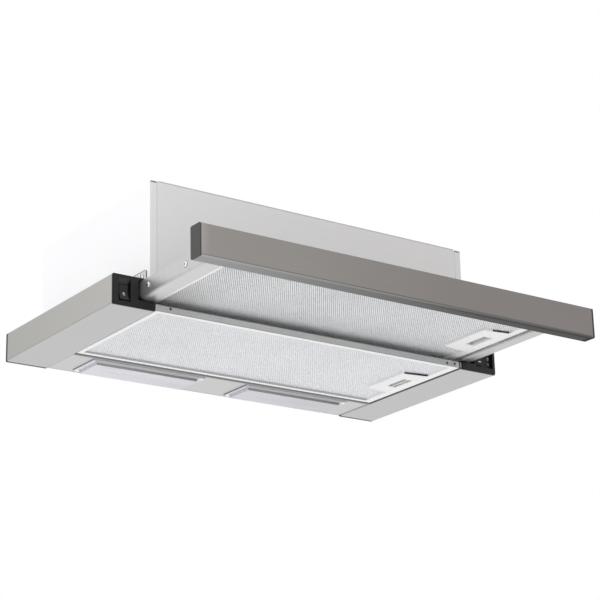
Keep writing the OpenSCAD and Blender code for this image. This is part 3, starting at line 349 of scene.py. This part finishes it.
# Pieces whose finish isn't named like their slot in the record
SPECIAL = {
    "front_strip": "strip_steel",
    "light_panel": "lamp_steel",
    "box_front_panel": "box_front",
    "lower_filter_mesh": "lower_mesh",
    "drawer_filter_mesh": "drawer_mesh",
    "drawer_left_rail": "rail_zinc",
    "drawer_right_rail": "rail_zinc",
    "left_slide_bracket": "bracket_zinc",
    "right_slide_bracket": "bracket_zinc",
    "casing_screws": "screw_zinc",
    "drawer_screws": "screw_zinc",
}
for part in frame["record"]["subparts"]:
    o = nodes[part["node"]]
    o.data.materials.clear()
    o.data.materials.append(MAT[SPECIAL.get(part["node"], part["material_slot"])])


# Places that the tints and the pieces are worked out from

side_x = high.x
front_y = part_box("left_wing")[0].y
back_y = high.y
under_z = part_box("left_wing")[0].z
lip_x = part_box("right_wing")[0].x
light_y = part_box("light_panel")[0].y
box_side_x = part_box("right_side_panel")[1].x
panel_low, panel_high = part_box("front_panel")
cover_low, cover_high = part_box("right_lamp_cover")
knob_low, knob_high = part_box("speed_knob")
# Depth of the end caps' faces, and outer radius of the wings' bends
cap_face = 2 * MM
bend_r = 1.8 * MM
# The sign of x at each side
SIDES = ((-1, "left"), (1, "right"))


# Tints. Where a mask gives two distances, the tint starts at one and is full at the other.

# Wings: painted shade on the sides, darker towards the back and darker still on the bend below,
# and on the inner lip at the right, darkest beside the filter; dark rear ends, and black fronts
# where the end caps stop short of the sides
t = MAT["wing_steel"].node_tree
across = absolute(t, axis(t, "X"))
side = rise(t, across, side_x - 0.2 * MM, side_x - 0.1 * MM)
tint(t, side, graded(t, "Y", (front_y, (0.45, 0.443, 0.425)), (back_y, (0.39, 0.386, 0.365))))
bend = past(t, "Z", under_z + bend_r, under_z + bend_r - 0.4 * MM)
tint(t, every(t, side, bend), grey(0.20))
right_lip = every(t, rise(t, across, lip_x + 0.9 * MM, lip_x + 0.3 * MM),
                  past(t, "X", -1 * MM, 1 * MM))
tint(t, right_lip, grey(0.45))
beside_filter = past(t, "Y", light_y + 1 * MM, light_y - 1 * MM)
tint(t, every(t, right_lip, beside_filter), grey(0.16))
tint(t, past(t, "Y", back_y - 4.8 * MM, back_y - 4.2 * MM), grey(0.04))
outside_cap = rise(t, across, side_x - 1.2 * MM, side_x - 1.0 * MM)
level_with_cap = past(t, "Y", front_y + cap_face, front_y + cap_face - 0.05 * MM)
tint(t, every(t, outside_cap, level_with_cap), grey(0.008))

# Lamp panel: painted shade along its front bend, in the gap to the filter, and at its ends, by
# the wings' lips
t = MAT["lamp_steel"].node_tree
tint(t, past(t, "Y", light_y + 6 * MM, light_y + 4 * MM), grey(0.45))
tint(t, past(t, "Y", light_y + 3 * MM, light_y + 1.5 * MM), grey(0.22))
ends = rise(t, absolute(t, axis(t, "X")), lip_x - 2.2 * MM, lip_x - 1.4 * MM)
tint(t, ends, grey(0.4))

# Box front: painted shade, darker to the right
t = MAT["box_front"].node_tree
tint(t, 1.0, graded(
    t, "X", (-box_side_x, grey(1.0)), (-0.4 * box_side_x, (0.95, 0.94, 0.935)),
    (0.2 * box_side_x, (0.89, 0.875, 0.87)), (box_side_x, (0.84, 0.825, 0.82))), "MULTIPLY")

# Painted shade: the side panels' white flanges on the front are as grey as the front panel
# between them
t = MAT["box_white"].node_tree
tint(t, facing(t, "Y", -1), graded(t, "X", (-box_side_x, grey(0.74)),
                                   (box_side_x, (0.62, 0.61, 0.605))))

# Filter frames: painted shade on the walls where they face the front
t = MAT["filter_aluminium"].node_tree
tint(t, facing(t, "Y", -1), grey(0.5))

# Front strip: painted shade, darker to the right, with a painted highlight line and a painted
# shadow line near that end
t = MAT["strip_steel"].node_tree
tint(t, past(t, "X", 0.2 * lip_x, lip_x), grey(0.48))
for start, end, tone in ((9, 4.4, 0.56), (3.8, 1.4, 0.07)):
    line = between(t, "X", lip_x - start * MM, lip_x - end * MM, 0.3 * MM)
    tint(t, line, grey(tone))

# Front panel: painted light on its front, lighter at the left, and painted shade on its
# underside, which fades to dark at the right
t = MAT["panel_steel"].node_tree
shader(t).inputs["Specular Tint"].default_value = (0.4, 0.4, 0.4, 1)
shader(t).inputs["Specular IOR Level"].default_value = 0.25
end_x = panel_high.x
front, below = facing(t, "Y", -1), facing(t, "Z", -1)
tint(t, 1.0, graded(
    t, "X", (-end_x, (1.35, 1.4, 1.43)), (-0.96 * end_x, (1.13, 1.15, 1.16)),
    (-0.3 * end_x, (1.02, 1.04, 1.05)), (0.25 * end_x, grey(0.9)),
    (end_x, (0.88, 0.88, 0.9))), "MULTIPLY")
tint(t, below, graded(
    t, "X", (-end_x, grey(0.44)), (-0.35 * end_x, grey(0.27)),
    (0.35 * end_x, (0.134, 0.13, 0.126)), (end_x, (0.108, 0.100, 0.093))))
# A dark line under the right half, painted shade on the underside by the right cap, and a dark
# joint with the cap in front
under_line = between(t, "Y", panel_low.y + 3 * MM, panel_low.y + 5 * MM, 0.8 * MM)
tint(t, every(t, below, past(t, "X", 0, 0.4 * end_x), under_line), grey(0.04))
tint(t, every(t, below, past(t, "X", end_x - 6 * MM, end_x - 4 * MM)), grey(0.012))
tint(t, every(t, front, past(t, "X", end_x - 0.9 * MM, end_x - 0.6 * MM)), grey(0.03))
# A painted shadow line low on the front, and painted light and shade on the bend under it,
# lighter at the left and darker at the right
low_line = between(t, "Z", panel_low.z + 1.7 * MM, panel_low.z + 2.6 * MM, 0.3 * MM)
tint(t, every(t, front, low_line),
     graded(t, "X", (-end_x, grey(0.21)), (0, grey(0.13)), (end_x, grey(0.14))))
low_bend = between(t, "Z", panel_low.z + 0.25 * MM, panel_low.z + 1.2 * MM, 0.25 * MM)
tint(t, low_bend, graded(t, "X", (-end_x, grey(0.44)), (0, grey(0.27)),
                         (0.35 * end_x, grey(0.17)), (end_x, grey(0.10))))

# Panel caps: painted shade, the right one black in front
t = MAT["panel_cap_black"].node_tree
tint(t, every(t, facing(t, "Y", -1), past(t, "X", 0, 1 * MM)), grey(0.004))

# Rails: painted light on the floors, which face down, and painted shade at the back by the
# casing
t = MAT["rail_zinc"].node_tree
below = facing(t, "Z", -1)
tint(t, below, graded(t, "X", (-lip_x, grey(0.72)), (lip_x, grey(0.64))))
tint(t, every(t, below, past(t, "Y", front_y - 16 * MM, front_y)), grey(0.55))

# Drawer filter: painted shade on the sheet behind the strands, darker to the left and in a band
# at the back, and painted light where it is bright again by the strip. Painted shade on sheet
# and strands in the rear left corner.
t = MAT["drawer_mesh"].node_tree
tint(t, 1.0, graded(t, "X", (-lip_x, grey(0.42)), (-0.3 * lip_x, grey(0.76)),
                    (lip_x, grey(1.0))), "MULTIPLY")
tint(t, past(t, "Y", front_y - 46 * MM, front_y - 24 * MM), grey(0.40))
tint(t, past(t, "Y", front_y - 26 * MM, front_y - 12 * MM), grey(0.98))
for name, tone in (("drawer_mesh", 0.12), ("drawer_strands", 0.66)):
    t = MAT[name].node_tree
    corner = every(t, past(t, "X", -lip_x + 70 * MM, -lip_x + 10 * MM),
                   past(t, "Y", front_y - 80 * MM, front_y - 30 * MM))
    tint(t, corner, grey(tone))

# Slide brackets: dark on the faces toward the front and along the top
t = MAT["bracket_zinc"].node_tree
top_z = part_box("left_slide_bracket")[1].z
tint(t, facing(t, "Y", -1), grey(0.06))
tint(t, past(t, "Z", top_z - 1.1 * MM, top_z - 0.7 * MM), grey(0.16))

# Latch plates: painted shade, grey inside the finger pockets
t = MAT["latch_white"].node_tree
plate_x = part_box("lower_latch_housing")[1].x
pocket = between(t, "X", plate_x - 20.2 * MM, plate_x - 5.3 * MM)
for name in ("lower_latch_housing", "drawer_latch_housing"):
    face_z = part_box(name)[0].z
    inner = between(t, "Z", face_z + 0.5 * MM, face_z + 9 * MM)
    tint(t, every(t, pocket, inner), grey(0.64))

# Lamp covers: lavender faces with painted shade, darker to the right; painted shade on the
# front walls, and on the left walls in mauve; and rims in grey, but for a painted highlight
# line along the step to the front wall, with painted shade on the rims' left and front sides
t = MAT["cover_frost"].node_tree
near_x, far_x = cover_low.x, cover_high.x
front, left = facing(t, "Y", -1), facing(t, "X", -1)
tint(t, 1.0, graded(t, "X", (-far_x, grey(1.0)), (-near_x, grey(0.90)),
                    (near_x, grey(0.86)), (far_x, grey(0.76))), "MULTIPLY")
step_y, step_z = cover_low.y + 8 * MM, cover_low.z + 3.2 * MM
wall = past(t, "Z", step_z + 0.3 * MM, step_z)
tint(t, every(t, front, wall), graded(t, "X", (-far_x, grey(0.34)), (-near_x, grey(0.2)),
                                      (near_x, grey(0.3)), (far_x, grey(0.2))))
tint(t, every(t, left, wall), (0.60, 0.58, 0.64))
rim = past(t, "Z", step_z - 0.2 * MM, step_z)
before_line = past(t, "Y", step_y - 1.2 * MM, step_y - 1.9 * MM)
tint(t, every(t, rim, before_line), (0.66, 0.66, 0.69))
tint(t, every(t, rim, left), grey(0.07))
tint(t, every(t, rim, front), grey(0.45))

# End caps: painted shade, the right one darker; in the recesses, painted shade on the walls
# that face up and to the left, and a painted highlight on the walls that face down
t = MAT["cap_black"].node_tree
tint(t, 1.0, graded(t, "X", (-side_x, grey(1.0)), (side_x, grey(0.7))), "MULTIPLY")
sunk = past(t, "Y", front_y + 0.1 * MM, front_y + 0.3 * MM)
for letter, sign, tone in (("Z", -1, 0.035), ("Z", 1, 0.001), ("X", -1, 0.001)):
    tint(t, every(t, sunk, facing(t, letter, sign, 0.3, 0.5)), grey(tone))
for name in ("cap_black", "switch_black"):
    shader(MAT[name].node_tree).inputs["Specular IOR Level"].default_value = 0.3


# Pieces in mesh code. A ring is a list of points; a shell is a pair of points and faces.

# A closed solid between two rings with the same number of points
def prism(a, b):
    n = len(a)
    sides = [(k, (k + 1) % n, n + (k + 1) % n, n + k) for k in range(n)]
    return [*a, *b], [tuple(reversed(range(n))), tuple(range(n, 2 * n)), *sides]


# A closed solid from a ring, thick along one vector
def plate(ring, thick):
    return prism(ring, [p + thick for p in ring])


# A closed flat ring between an outer and an inner outline, thick along one vector
def washer(outer, inner, thick):
    n = len(outer)
    points = [*outer, *inner, *(p + thick for p in outer), *(p + thick for p in inner)]
    faces = []
    for k in range(n):
        j = (k + 1) % n
        faces += [(k, n + k, n + j, j), (2 * n + k, 2 * n + j, 3 * n + j, 3 * n + k),
                  (k, j, 2 * n + j, 2 * n + k), (n + k, 3 * n + k, 3 * n + j, n + j)]
    return points, faces


# Vectors of length 1 in a full turn from one vector to another
def turn(side, ahead, n):
    return [side * math.cos(math.tau * j / n) + ahead * math.sin(math.tau * j / n)
            for j in range(n)]


# A low dome in rings round an axis: points of each ring lie at a radius and a height
def dome(centre, side, out, rings, n=24):
    ring = turn(side, out.cross(side), n)
    points = [centre + out * z + v * r for r, z in rings for v in ring]
    last = len(rings) - 1
    faces = [tuple(range(n)), tuple(range(last * n, (last + 1) * n))]
    faces += [(i * n + j, i * n + (j + 1) % n, (i + 1) * n + (j + 1) % n, (i + 1) * n + j)
              for i in range(last) for j in range(n)]
    return points, faces


# One object of closed shells, riding on a body
def piece(name, shells, body, material):
    points, faces = [], []
    for p, f in shells:
        faces += [tuple(i + len(points) for i in face) for face in f]
        points += p
    mesh = bpy.data.meshes.new(name)
    mesh.from_pydata(points, [], faces)
    b = bmesh.new()
    b.from_mesh(mesh)
    bmesh.ops.recalc_face_normals(b, faces=b.faces)
    b.to_mesh(mesh)
    b.free()
    mesh.materials.append(MAT[material])
    o = bpy.data.objects.new(name, mesh)
    scene.collection.objects.link(o)
    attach(o, body)


# Shares of the way from a to b at which it is inside a convex outline, or None
def inside(a, b, outline):
    start, end = 0.0, 1.0
    way = b - a
    for p, q in zip(outline, outline[1:] + outline[:1]):
        inward = Vector((p.y - q.y, q.x - p.x))
        speed, gap = inward.dot(way), inward.dot(p - a)
        if abs(speed) < 1e-12:
            if gap > 0:
                return None
        elif speed > 0:
            start = max(start, gap / speed)
        else:
            end = min(end, gap / speed)
    return (start, end) if end - start > 1e-6 else None


# Shares of the way from a to b in which it is inside a window and outside a hole
def runs(a, b, window, hole):
    span, gap = inside(a, b, window), inside(a, b, hole)
    if not span:
        return []
    if not gap:
        return [span]
    return [(span[0], min(gap[0], span[1])), (max(gap[1], span[0]), span[1])]


# Strands of one filter's mesh: two crossing families of bars under its CAD sheet. They stay
# inside the filter's frame and off the latch plate, which is narrower at its left end.
def weave(name, mesh_node, housing, body, material):
    pitch = 2.5 * MM
    angle = math.radians(35.4)
    # For each family its half widths and its depths under the sheet in mm, below and above
    families = ((0.55, 0.70, 0.75, 0.35), (0.25, 0.45, 0.45, 0.0))
    shortest = 0.4 * MM
    edge = 2 * MM
    plate_gap = 0.3 * MM
    taper = 5.5 * MM
    # How far the plate's outline goes on to the right, so that no strand lies beyond it
    past_edge = 1
    (x0, y0, sheet_z), (x1, y1, _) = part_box(mesh_node)
    (hx0, hy0, _), (hx1, hy1, _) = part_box(housing)
    hx0 -= plate_gap
    hx1 += past_edge
    window = [Vector(p) for p in ((x0 + edge, y0 + edge), (x1 - edge, y0 + edge),
                                  (x1 - edge, y1 - edge), (x0 + edge, y1 - edge))]
    latch_plate = [Vector(p) for p in ((hx0, hy0 + taper), (hx1, hy0), (hx1, hy1),
                                       (hx0, hy1 - taper))]
    centre = Vector(((x0 + x1) / 2, (y0 + y1) / 2))
    reach = (x1 - x0) + (y1 - y0)
    last = int(reach / 2 / pitch)
    shells = []
    for a, (low_w, high_w, z_low, z_high) in zip((angle, -angle), families):
        along = Vector((math.sin(a), math.cos(a)))
        side = Vector((math.cos(a), -math.sin(a)))
        section = ((-low_w, z_low), (low_w, z_low), (high_w, z_high), (-high_w, z_high))
        for k in range(-last, last + 1):
            p = centre + side * (k * pitch) - along * reach
            q = centre + side * (k * pitch) + along * reach
            for run in runs(p, q, window, latch_plate):
                if (run[1] - run[0]) * 2 * reach >= shortest:
                    shells.append(prism(*([
                        Vector((*(p.lerp(q, share) + side * w * MM), sheet_z - z * MM))
                        for w, z in section] for share in run)))
    piece(name, shells, body, material)


weave("lower_filter_strands", "lower_filter_mesh", "lower_latch_housing", "lower_filter",
      "lower_strands")
weave("drawer_filter_strands", "drawer_filter_mesh", "drawer_latch_housing", "drawer",
      "drawer_strands")

# Three fine ribs along the front rim of each lamp cover. Their section is in mm, out from the
# middle of a rib and up from the rim.
RIB_SECTION = ((-0.35, 0.02), (0.35, 0.02), (0.2, -0.3), (-0.2, -0.3))
rim_z = cover_low.z + 3.3 * MM
first_rib, rib_pitch, rib_inset = 1.4 * MM, 2.1 * MM, 2 * MM
for s, side in SIDES:
    x0, x1 = sorted((s * (cover_low.x + rib_inset), s * (cover_high.x - rib_inset)))
    ribs = []
    for k in range(3):
        y = cover_low.y + first_rib + k * rib_pitch
        section = [Vector((x0, y + dy * MM, rim_z + dz * MM)) for dy, dz in RIB_SECTION]
        ribs.append(plate(section, X * (x1 - x0)))
    piece(f"{side}_cover_ribs", ribs, "casing", "cover_frost")

# Drop-shaped lamp symbol on the lower half of the rocker, whose slope starts at a valley in the
# rocker's middle. It is laid out at the middle position and turned to the one at rest.
rocker_axis = Vector((-281.7, -130, -22.25)) * MM
at_rest = Matrix.Rotation(math.radians(-8), 3, "X")
# In mm, the length of the lower half and how far its end stands out beyond the valley
half_length, half_rise = 9.85, 1.6
valley_reach, symbol_drop = 6.4 * MM, 2.4 * MM
outer_r, inner_r, tip = 1.65 * MM, 1.1 * MM, 1.5 * MM
sink, thickness, corners = 0.2 * MM, 0.3 * MM, 32
down = at_rest @ Vector((0, -half_rise, -half_length)).normalized()
out = at_rest @ Vector((0, -half_length, half_rise)).normalized()
centre = rocker_axis + at_rest @ Vector((0, -valley_reach, 0)) + down * symbol_drop - out * sink
ring = turn(down, X, corners)
outer = [centre + v * outer_r - down * tip * max(0.0, -v.dot(down)) ** 3 for v in ring]
piece("rocker_symbol", [washer(outer, [centre + v * inner_r for v in ring], out * thickness)],
      "rocker", "print_white")

# Plain numbers beside the speed switch's three places, on the floor of its well. Strokes are in
# shares of a number's height, across and up.
STROKES = {
    "1": [((0.5, 0), (0.5, 1)), ((0.5, 1), (0.15, 0.75))],
    "2": [((0, 1), (0.7, 1)), ((0.7, 1), (0.7, 0.5)), ((0.7, 0.5), (0, 0.5)),
          ((0, 0.5), (0, 0)), ((0, 0), (0.7, 0))],
    "3": [((0, 1), (0.7, 1)), ((0.7, 1), (0.7, 0)), ((0.1, 0.5), (0.7, 0.5)),
          ((0, 0), (0.7, 0))],
}
number_x, lowest_z, number_step = 289.6 * MM, -25.4 * MM, 7.9 * MM
number_h, stroke_w, stroke_t = 3.2 * MM, 0.45 * MM, 0.22 * MM
well_y = front_y + 5 * MM
number_y = well_y - 0.12 * MM
shells = []
for k, digit in enumerate("123"):
    foot = Vector((number_x, number_y, lowest_z + k * number_step))
    for a, b in STROKES[digit]:
        p, q = (foot + Vector((v[0], 0, v[1])) * number_h for v in (a, b))
        way = (q - p).normalized() * stroke_w / 2
        side = Vector((way.z, 0, -way.x))
        shells.append(plate([p - way + side, q + way + side, q + way - side, p - way - side],
                            Y * stroke_t))
piece("speed_numbers", shells, "casing", "print_white")

# Painted shadow: a dark sheet in the gap between each latch plate's slanting front edge and the
# mesh. In mm: where it starts along the plate, and its widths there and at the other end.
edge_slant, straight_end, depth = 5 * MM, 3 * MM, 2 * MM
for name, housing, body, start, narrow, wide in (
        ("lower_latch_gap_shadow", "lower_latch_housing", "lower_filter", 3, 0.4, 1.3),
        ("drawer_latch_gap_shadow", "drawer_latch_housing", "drawer", 14, 0.2, 0.5)):
    (x0, y0, z0), (right, _, _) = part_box(housing)
    left = x0 + start * MM
    right_y = y0 - 0.1 * MM
    left_y = right_y + edge_slant * (right - left) / (right - x0 - straight_end)
    ring = [Vector((x, y, z0 + 0.5 * MM)) for x, y in (
        (left, left_y), (right, right_y), (right, right_y - wide * MM),
        (left, left_y - narrow * MM))]
    piece(name, [plate(ring, Z * depth)], body, "shadow")

# Painted highlights on the lamp covers: a bright white bead where each cover's corner glints,
# one at the front right, one at the rear left
BEAD = [(r * MM, z * MM) for r, z in ((3.0, -0.1), (2.9, 0.9), (2.3, 1.6), (1.2, 2.0))]
for s, side in SIDES:
    x0, x1 = sorted((s * cover_low.x, s * cover_high.x))
    piece(f"{side}_cover_glints", [dome(Vector((x, y, rim_z)), X, -Z, BEAD) for x, y in (
        (x1 - 4.5 * MM, cover_low.y + 5 * MM), (x0 + 4 * MM, cover_high.y - 5 * MM))],
          "casing", "cover_glint_white")


# Painted shadow on screw heads that show: a dark cross for the shade in the cross recess, and a
# dark ring round the head. A head is the centre of its seat, the way out, its radius and its
# height.
def screw_shadows(name, heads, body):
    rim_start, rim_end, rim_t, corners = 0.02 * MM, 0.45 * MM, 0.12 * MM, 32
    cross_sink, cross_t = 0.15 * MM, 0.2 * MM
    cross_length, cross_width = 0.5, 0.09
    shells = []
    for seat, out, r, height in heads:
        side = Z if abs(out.z) < 0.5 else X
        ahead = out.cross(side)
        ring = turn(side, ahead, corners)
        shells.append(washer([seat + v * (r + rim_end) for v in ring],
                             [seat + v * (r + rim_start) for v in ring], out * rim_t))
        top = seat + out * (height - cross_sink)
        for u, v in ((side, ahead), (ahead, side)):
            a, b = u * cross_length * r, v * cross_width * r
            shells.append(plate([top + a + b, top - a + b, top - a - b, top + a - b],
                                out * cross_t))
    piece(name, shells, body, "shadow")


# The screws' places are the CAD's, in mm
bracket_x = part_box("right_slide_bracket")[1].x
rail_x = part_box("drawer_right_rail")[1].x
box_top_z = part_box("box_top_panel")[1].z
small_head = (2.7 * MM, 1.6 * MM)
rail_head = (3.6 * MM, 1.4 * MM)
in_brackets = [(Vector((s * bracket_x, front_y + y * MM, z * MM)), s * X, *small_head)
               for s in (-1, 1) for y, z in ((15.4, 7.5), (22.6, 10.9), (200, 9), (240, 9))]
in_top = [(Vector((s * 230.5 * MM, y * MM, box_top_z)), Z, *small_head)
          for s in (-1, 1) for y in (-100, 100)]
in_rails = [(Vector((s * rail_x, panel_high.y + y * MM, -14 * MM)), s * X, *rail_head)
            for s in (-1, 1) for y in (73, 158)]
screw_shadows("casing_screw_shadows", in_brackets + in_top, "casing")
screw_shadows("drawer_screw_shadows", in_rails, "drawer")

# Painted shadow in the front strip's three small holes: a dark flat disc in front of each, and
# a dark pin in the hole
HOLE_SHADE = [(r * MM, y * MM) for r, y in ((1.7, 0), (1.7, 0.1), (0.7, 0.2), (0.7, 0.8))]
HOLES = ((-218, -32.4), (214.6, -34.2), (227.7, -33.4))
hole_shade_y = front_y - 0.15 * MM
hole_shades = [dome(Vector((x * MM, hole_shade_y, z * MM)), X, Y, HOLE_SHADE) for x, z in HOLES]
piece("strip_hole_shades", hole_shades, "casing", "shadow")

# Painted highlight on the speed knob: a light mark raised from its face, where the knob catches
# light. Its outline is in mm, across and up.
KNOB_HIGHLIGHT = ((-2.6, 0), (-1.6, 0.8), (1.6, 0.8), (2.6, 0), (1.6, -0.4), (-1.6, -0.4))
mark = Vector(((knob_low.x + knob_high.x) / 2, knob_low.y - 0.3 * MM, knob_high.z - 2.6 * MM))
ring = [mark + Vector((x, 0, z)) * MM for x, z in KNOB_HIGHLIGHT]
piece("speed_knob_highlight", [plate(ring, Y * 0.5 * MM)], "speed", "print_white")


# Studio

world = bpy.data.worlds.new("studio")
scene.world = world
world.use_nodes = True
sky = world.node_tree.nodes["Background"]
sky.inputs["Color"].default_value = (1, 1, 1, 1)
sky.inputs["Strength"].default_value = 1.0
scene.view_settings.view_transform = "Standard"

lamp = bpy.data.lights.new("key", "AREA")
lamp.shape = "RECTANGLE"
lamp.size, lamp.size_y = 2.0, 2.0
lamp.energy = 14
key = bpy.data.objects.new("key", lamp)
key.location = (-2.6, -1.2, 1.6)
key.rotation_euler = (-key.location).to_track_quat("-Z", "Y").to_euler()
scene.collection.objects.link(key)

floor_half = 6.0
floor_z = -1.3
floor_mesh = bpy.data.meshes.new("floor")
floor_mesh.from_pydata([(x * floor_half, y * floor_half, floor_z)
                        for x, y in ((-1, -1), (1, -1), (1, 1), (-1, 1))], [], [(0, 1, 2, 3)])
floor = bpy.data.objects.new("floor", floor_mesh)
scene.collection.objects.link(floor)
t, p = new_material("floor_paper")
link(t, around(t, grey(0.86), noise(t, 3), 0.01), p.inputs["Base Color"])
p.inputs["Roughness"].default_value = 0.9
floor_mesh.materials.append(MAT["floor_paper"])
floor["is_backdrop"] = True


# Camera, at the photograph's place: its turn, tilt and roll, and its focal length in pixels

heading, tilt, roll = (math.radians(v) for v in (35.439, 18.670, -1.418))
focal_px = 1905.53
picture_px = 600
forward = Vector((math.sin(heading) * math.cos(tilt), math.cos(heading) * math.cos(tilt),
                  math.sin(tilt)))
level = forward.cross(Z).normalized()
upright = level.cross(forward)
right = math.cos(roll) * level + math.sin(roll) * upright
up = math.cos(roll) * upright - math.sin(roll) * level
camera = bpy.data.objects.new("camera", bpy.data.cameras.new("camera"))
pose = Matrix((right, up, -forward)).transposed().to_4x4()
pose.translation = Vector((-1.363165, -2.020605, -0.766915))
camera.matrix_world = pose
camera.data.sensor_width = 36.0
camera.data.lens = camera.data.sensor_width * focal_px / picture_px
camera.data.clip_end = 50.0
scene.collection.objects.link(camera)
scene.camera = camera

low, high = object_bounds()
